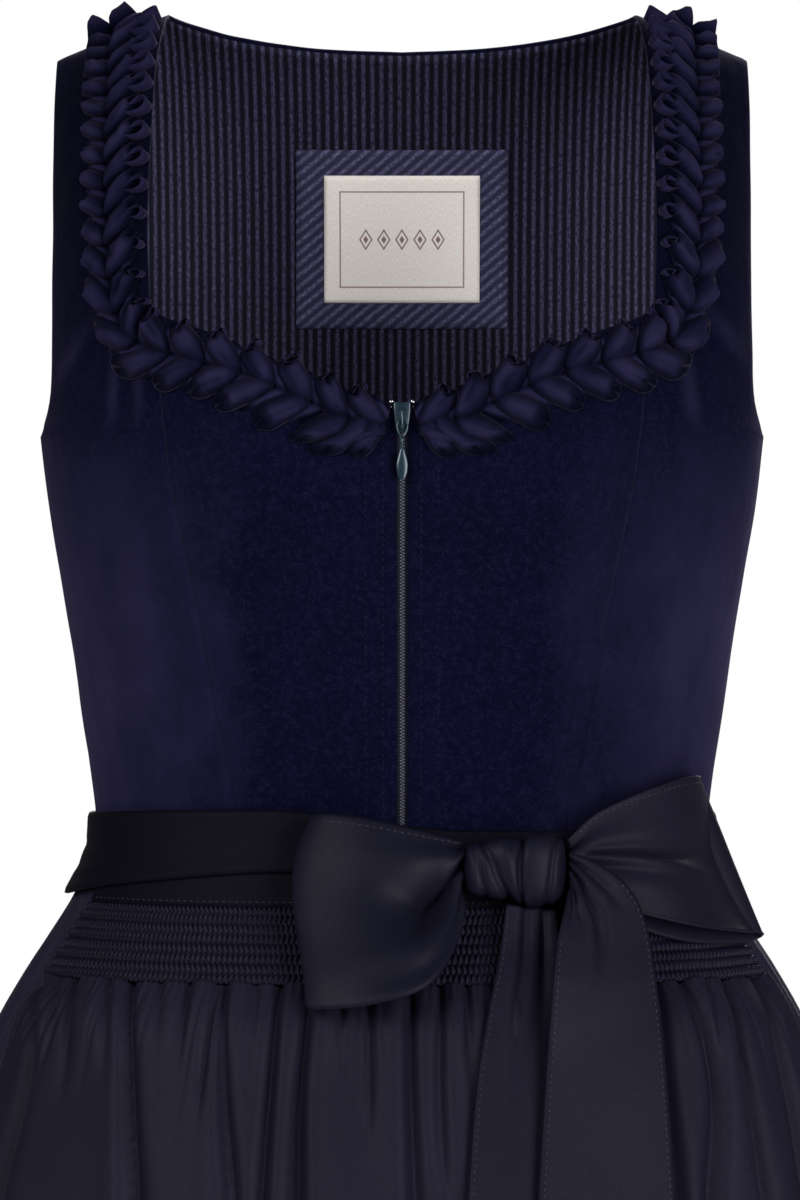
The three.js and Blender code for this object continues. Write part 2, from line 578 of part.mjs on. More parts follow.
// The ruched trim: a strip along the neckline whose top stands up in a herringbone of padded hearts.
function neckRuffle(side, name) {
  const points = rufflePath.map((row) => new THREE.Vector3(side * bodiceTurn(row.x, row.climb), row.climb * 100, 0));
  const curve = new THREE.CatmullRomCurve3(points);
  const place = (t) => {
    const p = curve.getPoint(t);
    return [p.x, p.y / 100];
  };
  const fine = shares(400).map((t) => ({ t, at: onBodice(...place(t)) }));
  fine.forEach((f, i) => (f.length = i ? fine[i - 1].length + f.at.distanceTo(fine[i - 1].at) : 0));
  const total = fine.at(-1).length;
  const tAt = (length) => {
    const i = Math.max(1, fine.findIndex((f) => f.length >= length - 1e-9));
    const [a, b] = [fine[i - 1], fine[i]];
    return mix(a.t, b.t, (length - a.length) / (b.length - a.length));
  };
  // The point at a distance along the strip and across it, moved out by a lift.
  const at = (length, across, lift) => {
    const t = THREE.MathUtils.clamp(tAt(length), 0.002, 0.998);
    const [turn, climb] = place(t);
    const ahead = onBodice(...place(t + 0.002)).sub(onBodice(...place(t - 0.002))).normalize();
    const byTurn = onBodice(turn + 0.2, climb).sub(onBodice(turn - 0.2, climb)).divideScalar(0.4);
    const byClimb = onBodice(turn, climb + 0.002).sub(onBodice(turn, climb - 0.002)).divideScalar(0.004);
    const normal = byTurn.clone().cross(byClimb).normalize();
    const aside = normal.clone().cross(ahead).multiplyScalar(across);
    const [tt, tc, cc] = [byTurn.dot(byTurn), byTurn.dot(byClimb), byClimb.dot(byClimb)];
    const [ta, ca] = [byTurn.dot(aside), byClimb.dot(aside)];
    const under = tt * cc - tc * tc;
    return bodiceAt(turn + (ta * cc - ca * tc) / under, climb + (ca * tt - ta * tc) / under, lift);
  };
  const pitch = total / ruffle.hearts;
  const lobe = (length, share) => {
    const phase = (length + ruffle.lean * Math.abs(share) * ruffle.half) / pitch;
    return phase - Math.floor(phase);
  };
  const top = (length, share) => {
    const puff = Math.sin(Math.PI * lobe(length, share) ** 0.7);
    const crown = 1 - 0.25 * (1 - Math.abs(share)) ** 2;
    const rim = Math.abs(share) > 0.95 ? 0.1 : 1;
    return ruffle.low + (ruffle.high - ruffle.low) * puff * crown * rim;
  };
  const width = (length, share) => ruffle.half * (0.86 + 0.14 * Math.sin(Math.PI * lobe(length, share)));
  const across = [-1, -0.72, -0.38, 0, 0.38, 0.72, 1];
  const lengths = shares(ruffle.hearts * ruffle.samples).map((s) => s * total);
  const flat = shares(ruffle.hearts).map((s) => s * total);
  const outer = gridOf(across, lengths, (l, c) => at(l, c * width(l, c), top(l, c)));
  const inner = gridOf([-1, 0, 1], flat, (l, c) => at(l, c * ruffle.half * 0.86, gap + 0.2));
  return wallMesh(name, outer, inner, velvet);
}

// The apron, from its waistband down. Gathers are pushed in from the smooth surface.
function gatherDepth(folds, turn, z, topZ, hemZ) {
  return folds.reduce((sum, fold) => {
    const near = Math.exp(-(((turn - fold.turn) / fold.wide) ** 2));
    const down = (topZ - z) / (topZ - hemZ);
    const fade = THREE.MathUtils.smoothstep(z, fold.ends, mix(fold.ends, topZ, 0.75));
    const long = fold.ends < hemZ;
    return sum + fold.depth * near * (long ? mix(1, fold.grows, down) : fade);
  }, 0);
}

const apronRows = [apronHemZ, -930, -800, -680, -590, -525, -482, -452, smockFootZ - gap];
const apronIn = (turn, z) => gatherDepth(apronFolds, turn, z, smockFootZ, apronHemZ);

// Columns on each trough and on the ridge between it and the next one.
function foldColumns(turns, from, to) {
  const kept = turns.filter((t) => t > from + 0.8 && t < to - 0.8);
  const ridges = kept.slice(1).map((t, i) => (t + kept[i]) / 2);
  const ends = kept.length ? [(from + kept[0]) / 2, (to + kept.at(-1)) / 2] : [];
  return [from, to, ...kept, ...ridges, ...ends].sort((a, b) => a - b);
}

function apronSkirt() {
  const columns = foldColumns(apronFolds.map((f) => f.turn), apron.from, apron.to);
  const at = (thick) => (turn, z) => hipAt(turn, z, -thick - apronIn(turn, z));
  return wallMesh("apron_skirt", gridOf(apronRows, columns, at(0)), gridOf(apronRows, columns, at(wall.satin)), satin);
}

function apronSmocking() {
  const columns = shares(2 * apron.pleats).map((s) => mix(apron.from, apron.to, s));
  const rows = shares(2 * (apron.rows - 1)).map((s) => mix(smockFootZ, bandFootZ - gap, s));
  const raised = (i, j) => (i % 2 === 0 ? -0.5 : (j + (i - 1) / 2) % 2 === 0 ? 1 : 0) * apron.relief;
  const outer = rows.map((z, i) => columns.map((turn, j) => hipAt(turn, z, raised(i, j))));
  const plain = shares(apron.pleats).map((s) => mix(apron.from, apron.to, s));
  const inner = gridOf([rows[0], rows.at(-1)], plain, (turn, z) => hipAt(turn, z, -wall.satin));
  return wallMesh("apron_smocking", outer, inner, satin);
}

function apronWaistband() {
  const columns = shares(26).map((s) => mix(apron.from, apron.to, s));
  const at = (lift) => (turn, z) => hipAt(turn, z, lift);
  const rows = [bandFootZ, -384, -372, -363];
  return wallMesh("apron_waistband", gridOf(rows, columns, at(-0.3)), gridOf(rows, columns, at(-1.5)), satin);
}

// The tie band runs all the way round under the bow.
function tieBand() {
  const columns = shares(36).map((s) => mix(-180, 180, s));
  const at = (lift) => (turn, share) => {
    const z = mix(read(tieEdges, "turn", turn, "foot"), read(tieEdges, "turn", turn, "top"), share);
    return hipAt(turn, z, lift);
  };
  const rows = [0, 0.35, 0.7, 1];
  const [outer, inner] = [tieWall.outer, tieWall.inner].map((lift) => gridOf(rows, columns, at(lift)));
  return wallMesh("tie_band", outer, inner, satin, true);
}

// The skirt: plain where the apron hides it, gathered where it shows.
const skirtTroughs = shares(skirtFolds.count - 1).map((_, k) => ({
  turn: skirtFolds.from + k * skirtFolds.step + 1.2 * Math.sin(k * 2.4),
  depth: skirtFolds.depth + skirtFolds.sway * Math.sin(k * 4.1),
  wide: skirtFolds.wide,
  ends: k % 3 === 1 ? -620 : -1200,
  grows: skirtFolds.grows,
}));

function skirtLift(turn, z) {
  const round = Math.abs(turn > 180 ? turn - 360 : turn);
  const under = 1 - THREE.MathUtils.smoothstep(round, 60, 76);
  const down = THREE.MathUtils.smoothstep(-z, 392, 470);
  const gathers = gatherDepth(skirtTroughs, turn < 0 ? turn + 360 : turn, z, skirtTopZ, skirtHemZ);
  const shown = THREE.MathUtils.smoothstep(round, 64, 70);
  const started = THREE.MathUtils.smoothstep(-z, 384, 430);
  return -2.2 - 15 * under * down - gathers * shown * started;
}

const skirtRows = [skirtHemZ, -960, -840, -730, -630, -550, -495, -455, -425, -400, -386, skirtTopZ];

function skirtWidth(name, from, to, columns) {
  const at = (thick) => (turn, z) => hipAt(turn, z, skirtLift(turn, z) - thick);
  const [outer, inner] = [0, wall.skirt].map((thick) => gridOf(skirtRows, columns, at(thick)));
  return wallMesh(name, outer, inner, skirtCloth);
}

function skirtFront() {
  const turns = skirtTroughs.flatMap((f) => [f.turn, f.turn - 360]);
  const right = foldColumns(turns, -90 + sideTurn, -62);
  const left = foldColumns(turns, 62, 90 - sideTurn);
  const hidden = shares(8).map((s) => mix(-62, 62, s)).slice(1, -1);
  return skirtWidth("skirt_front", -90, 90, [...right, ...hidden, ...left]);
}

function skirtBack() {
  return skirtWidth("skirt_back", 90, 270, foldColumns(skirtTroughs.map((f) => f.turn), 90 + sideTurn, 270 - sideTurn));
}

// The bow lies in front of the tie band and the apron. This is how far forward they reach at x and z.
function frontY(x, z) {
  const size = (column) => read(hipRows, "z", z, column);
  const halfWidth = size("halfWidth");
  const share = Math.min(0.965, Math.abs(x) / halfWidth);
  return -size("front") * (1 - share ** size("round")) ** (1 / size("round")) - tieWall.outer;
}

// A band through its stations, as a wall about its middle surface.
function bandMesh(name, stations, edges, steps, rows, bulge) {
  const table = stations.map((row, i) => ({ ...row, step: i / (stations.length - 1) }));
  const middle = (along, across) => {
    const [x0, z0, x1, z1] = edges.map((column) => read(table, "step", along, column));
    const x = mix(x0, x1, across);
    const z = mix(z0, z1, across);
    const crown = 1 - bulge * (2 * across - 1) ** 2;
    return new THREE.Vector3(x, frontY(x, z) - read(table, "step", along, "out") * crown, z);
  };
  const at = (lift) => (a, b) => movedOut(middle, a, b, lift, 0.002, 0.01);
  const columns = shares(steps);
  const half = wall.ribbon / 2;
  return wallMesh(name, gridOf(rows, columns, at(half)), gridOf(rows, columns, at(-half)), satin);
}

const loopEdges = ["footX", "foot", "topX", "top"];

function bowKnot() {
  const sides = 14;
  const ringAt = (row) =>
    shares(sides).map((s) => {
      const angle = -s * 2 * Math.PI;
      const y = frontY(row.x, row.z) - knotOut + row.deep * power(Math.cos(angle), 0.8);
      return new THREE.Vector3(row.x, y, row.z + row.high * power(Math.sin(angle), 0.8));
    });
  const rings = knot.map(ringAt);
  const triangles = [];
  face(triangles, rings, false);
  [rings[0], rings.at(-1)].forEach((ring, end) => {
    const centre = ring.slice(1).reduce((sum, p) => sum.add(p), new THREE.Vector3()).divideScalar(sides);
    for (let j = 0; j < sides; j += 1)
      triangles.push(...(end ? [centre, ring[j + 1], ring[j]] : [centre, ring[j], ring[j + 1]]));
  });
  return meshOf("bow_knot", triangles, satin);
}

const dirndl = new THREE.Group();
dirndl.name = "dirndl";
for (const [side, word] of [[1, "left"], [-1, "right"]])
  dirndl.add(
    frontCentre(side, "bodice_front_centre_" + word),
    frontSide(side, "bodice_front_side_" + word),
    backSide(side, "bodice_back_side_" + word),
    neckRuffle(side, "neck_ruffle_" + word),
  );
dirndl.add(
  backCentre(),
  backLining(),
  onLining("label_patch", { ...patch, rows: patchRows }, liningCloth),
  onLining("label", { ...label, rows: [0.31, 0.38, 0.45, 0.52, 0.58] }, labelCloth),
  frontStrip("zip_tape", zip.tapeHalf, -wall.velvet - gap, 0.8, tapeCloth),
  frontStrip("zip_coil", zip.coilHalf, -0.2, 1.5, coilNylon),
  zipSlider(),
  zipPull(),
  apronWaistband(),
  apronSmocking(),
  apronSkirt(),
  tieBand(),
  skirtFront(),
  skirtBack(),
  bowKnot(),
);
// Seen from the front, the wearer's right loop and tail are on the left.
const tailEdges = ["left", "leftZ", "right", "rightZ"];
dirndl.add(
  bandMesh("bow_loop_right", leftLoop, loopEdges, 26, [0, 0.33, 0.67, 1], 0.22),
  bandMesh("bow_loop_left", rightLoop, loopEdges, 26, [0, 0.33, 0.67, 1], 0.22),
  bandMesh("bow_tail_right", leftTail, tailEdges, 14, [0, 0.25, 0.5, 0.75, 1], 0),
  bandMesh("bow_tail_left", rightTail, tailEdges, 18, [0, 0.2, 0.4, 0.6, 0.8, 1], 0),
);

export default dirndl;
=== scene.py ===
# The looks of a velvet dirndl with a satin apron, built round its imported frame.
# Tables are in millimetres in the part's own frame; meshes are in metres.
import math

import bmesh
import bpy
import numpy as np
from mathutils import Matrix, Vector


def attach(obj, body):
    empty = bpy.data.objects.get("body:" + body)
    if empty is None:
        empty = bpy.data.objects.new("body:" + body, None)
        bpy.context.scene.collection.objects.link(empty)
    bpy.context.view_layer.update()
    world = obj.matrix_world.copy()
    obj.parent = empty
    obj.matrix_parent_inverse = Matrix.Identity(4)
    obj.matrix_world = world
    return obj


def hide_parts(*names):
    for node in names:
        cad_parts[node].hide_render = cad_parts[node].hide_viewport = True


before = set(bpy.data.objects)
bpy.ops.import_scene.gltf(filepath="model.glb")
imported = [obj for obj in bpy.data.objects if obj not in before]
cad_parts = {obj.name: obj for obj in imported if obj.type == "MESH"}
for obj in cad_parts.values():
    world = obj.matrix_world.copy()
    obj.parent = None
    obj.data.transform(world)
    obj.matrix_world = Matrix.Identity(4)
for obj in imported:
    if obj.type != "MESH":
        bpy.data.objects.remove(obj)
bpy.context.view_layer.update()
mm = 0.001


def table(columns, rows):
    return dict(zip(columns.split(), np.array(rows, float).T))


# camera: level, at the photograph's distance and framing
camera = {"x": -0.0009, "distance": 2.5, "z": -0.2628, "spanHeight": 0.54, "sensor": 36}


def makeCamera():
    data = bpy.data.cameras.new("camera")
    data.sensor_width = camera["sensor"]
    data.lens = camera["sensor"] * camera["distance"] / camera["spanHeight"]
    cam = bpy.data.objects.new("camera", data)
    cam.location = (camera["x"], -camera["distance"], camera["z"])
    cam.rotation_euler = (math.pi / 2, 0, 0)
    bpy.context.scene.collection.objects.link(cam)
    bpy.context.scene.camera = cam


makeCamera()

# surfaces: the bodice and the hip line, as in the part
underarmZ, waistZ, skirtTopZ, bandFootZ, smockFootZ = -190, -371.9, -372.3, -395.6, -427
apronHemZ, skirtHemZ = -1048, -1075
gap = 0.3
bodiceRound, frontArch, backArch = 2.5, 2.2, 3.4
shoulder = {"inner": 105, "fall": 0.4}
bust = {"x": 74, "z": -212, "wide": 46, "high": 48, "lift": 7}
bodiceRows = table("z halfWidth front back", [
    (-372, 136.2, 91.5, 85.5),
    (-352, 138, 92.5, 87),
    (-320, 142.8, 97, 89.5),
    (-285, 147.8, 104, 93),
    (-250, 153.6, 112, 99.2),
    (-215, 159.2, 118, 104.5),
    (-190, 162, 118, 106),
])
hipRows = table("z halfWidth front back round", [
    (-1075, 310, 240, 246, 2.05),
    (-900, 286, 221, 226, 2.05),
    (-760, 263, 202, 205, 2.08),
    (-640, 240, 184, 184, 2.12),
    (-550, 219, 166, 164, 2.18),
    (-490, 201, 151, 148, 2.25),
    (-455, 188, 139, 135, 2.3),
    (-427, 172.5, 125, 121, 2.35),
    (-409, 160, 113, 109, 2.4),
    (-396, 151, 106, 100, 2.45),
    (-384, 144.5, 100.5, 94, 2.5),
    (-372, 139.8, 97, 90, 2.5),
    (-352, 138.8, 93.8, 88, 2.5),
    (-340, 138.8, 93.6, 88, 2.5),
])
princessSeam = table("z x", [
    (-372, 71.5), (-351, 73), (-321, 79.5), (-262, 90), (-219, 99), (-180, 104.5), (-132, 110),
])
sweetheart = table("x z", [
    (0, -178), (9, -177), (20, -170.5), (48, -159.5), (74, -148), (95, -142), (105, -138), (110, -132),
])
neckCornerX, neckCornerZ = 110.0, -132.0
zipHalf = 2.2  # half of the gap between the two front edges
frontNeck = table("climb x", [(0.17, 110), (0.3, 111), (0.5, 110), (0.68, 108.5), (0.82, 106.5), (1, 105)])
frontArmhole = table("z turn", [(-190, 90), (-188.4, 84), (-183.5, 77.5), (-174, 73), (-155, 71.2), (0, 71.2)])
backArmhole = table("z turn", [
    (-190, 90), (-188, 95), (-183, 99.5), (-174, 104), (-157, 109), (-134, 112.3), (-95, 114), (-28, 113), (0, 108.8),
])
backSeam = table("z x", [
    (-372, 48), (-299, 56), (-245, 66), (-190, 78), (-130, 91), (-71, 104), (-22, 119), (0, 128),
])
backNeck = table("x z", [(0, -12), (40, -10.5), (75, -6.5), (95, -2.4), (105, 0)])
sideTurn = -0.012  # degrees by which the panels lap at the side seam


def mix(a, b, share):
    return a + (b - a) * share


def smooth(value, low, high):
    t = np.clip((value - low) / (high - low), 0, 1)
    return t * t * (3 - 2 * t)


def read(rows, at, column):  # a smooth curve through a table's rows, keyed by its first column
    key, value = next(iter(rows.values())), rows[column]
    at = np.asarray(at, float)
    last = len(key) - 1
    i = np.clip(np.searchsorted(key, at) - 1, 0, last - 1)
    step = key[i + 1] - key[i]
    t = np.clip((at - key[i]) / step, 0, 1)

    def slope(a, b):
        return (value[b] - value[a]) / (key[b] - key[a])

    start = slope(np.maximum(i - 1, 0), i + 1) * step
    end = slope(i, np.minimum(i + 2, last)) * step
    rise = value[i + 1] - value[i]
    return value[i] + t * (start + t * (3 * rise - 2 * start - end + t * (start + end - 2 * rise)))


def power(value, by):
    return np.sign(value) * np.abs(value) ** by


def onRing(turn, halfWidth, front, back, roundness):
    turn = np.radians(turn)
    across = power(np.sin(turn), 2 / roundness)
    ahead = power(np.cos(turn), 2 / roundness)
    return halfWidth * across, -ahead * np.where(ahead > 0, front, back)


def onBodice(turn, climb):  # climb: -1 at the waist, 0 at the underarm, 1 on the shoulder
    level = np.where(climb < 0, mix(underarmZ, waistZ, -climb), underarmZ)
    size = [read(bodiceRows, level, column) for column in ("halfWidth", "front", "back")]
    x, y = onRing(turn, *size, bodiceRound)
    arch = np.maximum(climb, 0) * math.pi / 2
    rise = np.abs(np.sin(arch)) ** (2 / np.where(y < 0, frontArch, backArch))
    ridge = -shoulder["fall"] * np.maximum(0, np.abs(x) - shoulder["inner"])
    z = np.where(climb < 0, level, underarmZ + (ridge - underarmZ) * rise)
    swell = ((np.abs(x) - bust["x"]) / bust["wide"]) ** 2 + ((z - bust["z"]) / bust["high"]) ** 2
    y = y * np.cos(arch) - np.where(y < 0, bust["lift"] * np.exp(-swell), 0)
    return np.stack([x, y, z + 0 * x], -1)


def climbOf(x, z, arch):
    ridge = -shoulder["fall"] * np.maximum(0, np.abs(x) - shoulder["inner"])
    rise = np.clip((z - underarmZ) / (ridge - underarmZ), 0, 1)
    below = (z - underarmZ) / (underarmZ - waistZ)
    return np.where(z < underarmZ, below, np.arcsin(rise ** (arch / 2)) / (math.pi / 2))


def bodiceTurn(x, climb):
    level = np.where(climb < 0, mix(underarmZ, waistZ, -climb), underarmZ)
    share = np.minimum(1, np.abs(x) / read(bodiceRows, level, "halfWidth"))
    return np.sign(x) * np.degrees(np.arcsin(share ** (bodiceRound / 2)))


def onHip(turn, z):
    size = [read(hipRows, z, column) for column in ("halfWidth", "front", "back", "round")]
    x, y = onRing(turn, *size)
    return np.stack([x, y, z + 0 * x], -1)


def unit(vectors):
    return vectors / np.maximum(np.linalg.norm(vectors, axis=-1, keepdims=True), 1e-9)


def walkedAlong(points):  # the way walked along a line, up to each of its points
    return np.concatenate([[0], np.cumsum(np.linalg.norm(np.diff(points, axis=0), axis=1))])


def normalOf(surface, a, b, stepA, stepB):
    along = surface(a + stepA, b) - surface(a - stepA, b)
    up = surface(a, b + stepB) - surface(a, b - stepB)
    return unit(np.cross(along, up))


def bodiceAt(turn, climb, lift):
    return onBodice(turn, climb) + normalOf(onBodice, turn, climb, 0.4, 0.004) * np.asarray(lift)[..., None]


def hipAt(turn, z, lift):
    return onHip(turn, z) + normalOf(onHip, turn, z, 0.4, 1) * np.asarray(lift)[..., None]


def ripple(a, b, seed):  # soft irregular waves between -1 and 1, for cloth that is never quite even
    random = np.random.default_rng(seed)
    total = 0
    for k in range(5):
        angle, phase, pace = random.uniform(0, math.pi), random.uniform(0, 6.28), random.uniform(0.6, 1.7)
        total = total + np.sin(pace * (a * math.cos(angle) + b * math.sin(angle)) + phase)
    return total / 5


def edgeRoll(away, radius):  # a turned edge rounds over to the inside
    inside = np.clip(1 - away / radius, 0, 1)
    return -radius * (1 - np.sqrt(1 - inside ** 2))


def creases(rows, a, b):  # each row is a soft trough, or a ridge if its depth is negative
    total = 0
    for a0, b0, a1, b1, width, depth in zip(*rows.values()):
        along = ((a - a0) * (a1 - a0) + (b - b0) * (b1 - b0)) / ((a1 - a0) ** 2 + (b1 - b0) ** 2)
        t = np.clip(along, 0, 1)
        away = np.hypot(a - mix(a0, a1, t), b - mix(b0, b1, t))
        ends = 0.35 + 0.65 * np.sin(math.pi * t)
        total = total - depth * ends * np.exp(-(away / width) ** 2)
    return total


# materials
def hexColour(text):
    parts = [int(text[i:i + 2], 16) / 255 for i in (0, 2, 4)]
    return (*[p / 12.92 if p <= 0.04045 else ((p + 0.055) / 1.055) ** 2.4 for p in parts], 1)


def addNode(tree, kind, inputs=None, output=0, **settings):
    node = tree.nodes.new("ShaderNode" + kind)
    for key, value in settings.items():
        setattr(node, key, value)
    for key, value in (inputs or {}).items():
        if isinstance(value, bpy.types.NodeSocket):
            tree.links.new(value, node.inputs[key])
        else:
            node.inputs[key].default_value = value
    return node.outputs[output] if node.outputs else node


def newMaterial(name):
    material = bpy.data.materials.new(name)
    material.use_nodes = True
    material.node_tree.nodes.clear()
    return material, material.node_tree


def velvetMaterial(name, folded, sheen):
    # cotton velvet, cut pile: deep navy head on; the sides and the tops of folds are painted greyer as painted sheen,
    # and the folds' depths and the straps painted darker as painted shade
    material, tree = newMaterial(name)
    coords = addNode(tree, "TexCoord", output="Object")
    brushed = addNode(tree, "Mapping", {"Vector": coords, "Scale": (1, 1, 0.55)})
    # patches of 25 mm, specks of 3 mm, and tufts drawn about 1 mm wide
    lay = addNode(tree, "TexNoise", {"Vector": brushed, "Scale": 38, "Detail": 4, "Roughness": 0.62})
    fleck = addNode(tree, "TexNoise", {"Vector": coords, "Scale": 330, "Detail": 3, "Roughness": 0.7})
    tuft = addNode(tree, "TexNoise", {"Vector": coords, "Scale": 1300})
    layShare = addNode(tree, "MapRange", {0: lay, 1: 0.3, 2: 0.7})
    if folded:  # the piece carries how high each point stands: the tops are painted greyer as painted sheen and the folds' depths darker as painted shade
        paintedSheen = addNode(tree, "Attribute", output="Fac", attribute_name="crest")
        paintedShade = addNode(tree, "MapRange", {0: paintedSheen, 1: 0, 2: 0.75, 3: 1, 4: 0})
    else:
        x, y, z = addNode(tree, "SeparateXYZ", {0: coords}, slice(3))
        side = addNode(tree, "Math", {0: x}, operation="ABSOLUTE")
        patchy = addNode(tree, "Math", {0: lay, 1: 0.05, 2: side}, operation="MULTIPLY_ADD")
        # the sides below the arm are painted greyer: painted sheen where the surface turns away
        toSide = addNode(tree, "MapRange", {0: patchy, 1: 0.085, 2: 0.16})
        belowArm = addNode(tree, "MapRange", {0: z, 1: -0.18, 2: -0.27})
        paintedSideSheen = addNode(tree, "Math", {0: toSide, 1: belowArm}, operation="MULTIPLY")
        # the crests of pulled folds, painted greyer as painted sheen
        ridges = addNode(tree, "Attribute", output="Fac", attribute_name="crest")
        paintedSheen = addNode(tree, "Math", {0: paintedSideSheen, 1: ridges}, operation="MAXIMUM")
        # painted shade: the straps and the top of the front are painted darker
        high = addNode(tree, "MapRange", {0: z, 1: -0.2, 2: -0.09, 3: 0, 4: 0.75})
        ahead = addNode(tree, "MapRange", {0: y, 1: 0.03, 2: -0.03})
        paintedShade = addNode(tree, "Math", {0: high, 1: ahead}, operation="MULTIPLY")  # on the front alone
    deep = addNode(tree, "Mix", {0: layShare, 6: hexColour("030415"), 7: hexColour("05061b")}, 2, data_type="RGBA")
    # the greyer tone is painted sheen
    sheenGrey = addNode(tree, "Mix", {0: layShare, 6: hexColour("17152b"), 7: hexColour("201d36")}, 2, data_type="RGBA")
    cloth = addNode(tree, "Mix", {0: paintedSheen, 6: deep, 7: sheenGrey}, 2, data_type="RGBA")
    tufted = addNode(tree, "Math", {0: tuft, 1: 0.6}, operation="MULTIPLY")
    specks = addNode(tree, "Math", {0: fleck, 1: 0.7, 2: tufted}, operation="MULTIPLY_ADD")
    speckShare = addNode(tree, "MapRange", {0: specks, 1: 0.62, 2: 0.86, 3: 0, 4: 0.4})
    speckled = addNode(tree, "Mix", {0: speckShare, 6: cloth, 7: hexColour("191832")}, 2, data_type="RGBA")
    # the near black is painted shade
    shaded = addNode(tree, "Mix", {0: paintedShade, 6: speckled, 7: hexColour("01020d")}, 2, data_type="RGBA")
    pile = addNode(tree, "Math", {0: lay, 1: 6, 2: specks}, operation="MULTIPLY_ADD")
    shader = addNode(tree, "BsdfPrincipled", {
        "Base Color": shaded,
        "Roughness": 0.9,
        "Specular IOR Level": 0.02,
        "Sheen Weight": sheen,
        "Sheen Roughness": 0.45,
        "Sheen Tint": hexColour("565069"),
        "Normal": addNode(tree, "Bump", {"Height": pile, "Distance": 0.0003, "Strength": 0.6}),
    })
    addNode(tree, "OutputMaterial", {"Surface": shader})
    return material


def satinMaterial(name, dark, light, gloss, roughness, shift, sewn=False):
    # viscose satin, woven smooth: near black with a soft blue bloom; each piece's tone is painted lighter or darker
    # as painted light and shade
    material, tree = newMaterial(name)
    coords = addNode(tree, "TexCoord", output="Object")
    placed = addNode(tree, "Mapping", {"Vector": coords, "Location": (shift, 0, 0)})
    drawn = addNode(tree, "Mapping", {"Vector": placed, "Scale": (1, 1, 4)})
    # yarn 2.5 mm long
    slub = addNode(tree, "TexNoise", {"Vector": drawn, "Scale": 400, "Detail": 3, "Roughness": 0.6})
    grain = addNode(tree, "TexNoise", {"Vector": placed, "Scale": 1300, "Detail": 3, "Roughness": 0.7})
    cloudy = addNode(tree, "TexNoise", {"Vector": placed, "Scale": 12, "Detail": 3})
    cloudShare = addNode(tree, "Math", {0: cloudy, 1: 0.3}, operation="MULTIPLY")
    share = addNode(tree, "Math", {0: grain, 1: 0.7, 2: cloudShare}, operation="MULTIPLY_ADD")
    toLight = addNode(tree, "MapRange", {0: share, 1: 0.3, 2: 0.7})
    weave = addNode(tree, "Math", {0: grain, 1: slub}, operation="ADD")
    cloth = addNode(tree, "Mix", {0: toLight, 6: hexColour(dark), 7: hexColour(light)}, 2, data_type="RGBA")
    if sewn:  # the piece carries the stitch rows in the drawn-in pits, painted near black for the dark thread and as painted shade
        inThreadAndShade = addNode(tree, "Attribute", output="Fac", attribute_name="thread")
        cloth = addNode(tree, "Mix", {0: inThreadAndShade, 6: cloth, 7: hexColour("040409")}, 2, data_type="RGBA")
    shader = addNode(tree, "BsdfPrincipled", {
        "Base Color": cloth,
        "Specular IOR Level": gloss,
        "Roughness": addNode(tree, "MapRange", {
            0: slub, 1: 0.3, 2: 0.7, 3: roughness - 0.04, 4: roughness + 0.05,
        }),
        "Normal": addNode(tree, "Bump", {"Height": weave, "Distance": 0.00012, "Strength": 0.5}),
    })
    addNode(tree, "OutputMaterial", {"Surface": shader})
    return material


def stripedMaterial(name, pitch, slant, dark, light):  # lining with narrow woven stripes whose pale yarn is speckled
    material, tree = newMaterial(name)
    uv = addNode(tree, "UVMap", uv_map="cloth")
    turned = addNode(tree, "Mapping", {"Vector": uv, "Rotation": (0, 0, slant)})
    across = addNode(tree, "SeparateXYZ", {0: turned})
    repeats = addNode(tree, "Math", {0: across, 1: pitch}, operation="DIVIDE")
    phase = addNode(tree, "Math", {0: repeats}, operation="FRACT")
    fromMiddle = addNode(tree, "Math", {0: phase, 1: 0.5}, operation="SUBTRACT")
    middle = addNode(tree, "Math", {0: fromMiddle}, operation="ABSOLUTE")
    stripe = addNode(tree, "MapRange", {0: middle, 1: 0.31, 2: 0.1})
    drawn = addNode(tree, "Mapping", {"Vector": turned, "Scale": (1, 0.5, 1)})
    # slubs of 1 to 2 mm
    fleck = addNode(tree, "TexNoise", {"Vector": drawn, "Scale": 1000, "Detail": 3, "Roughness": 0.8})
    broken = addNode(tree, "MapRange", {0: fleck, 1: 0.41, 2: 0.63, 3: 0.14, 4: 1})
    pale = addNode(tree, "Math", {0: stripe, 1: broken}, operation="MULTIPLY")
    relief = addNode(tree, "Math", {0: stripe, 1: fleck}, operation="ADD")
    shader = addNode(tree, "BsdfPrincipled", {
        "Base Color": addNode(tree, "Mix", {0: pale, 6: hexColour(dark), 7: hexColour(light)}, 2, data_type="RGBA"),
        "Roughness": 0.8,
        "Specular IOR Level": 0.08,
        "Normal": addNode(tree, "Bump", {"Height": relief, "Distance": 0.00012, "Strength": 0.5}),
    })
    addNode(tree, "OutputMaterial", {"Surface": shader})
    return material


# how far in the label's frame lies, its lozenges' spacing, ring and core, and half of their row's length
labelMotif = {"frameIn": 7.4 * mm, "pitch": 8.5 * mm, "ring": 2.8 * mm, "core": 1.3 * mm, "rowHalf": 21.3 * mm}


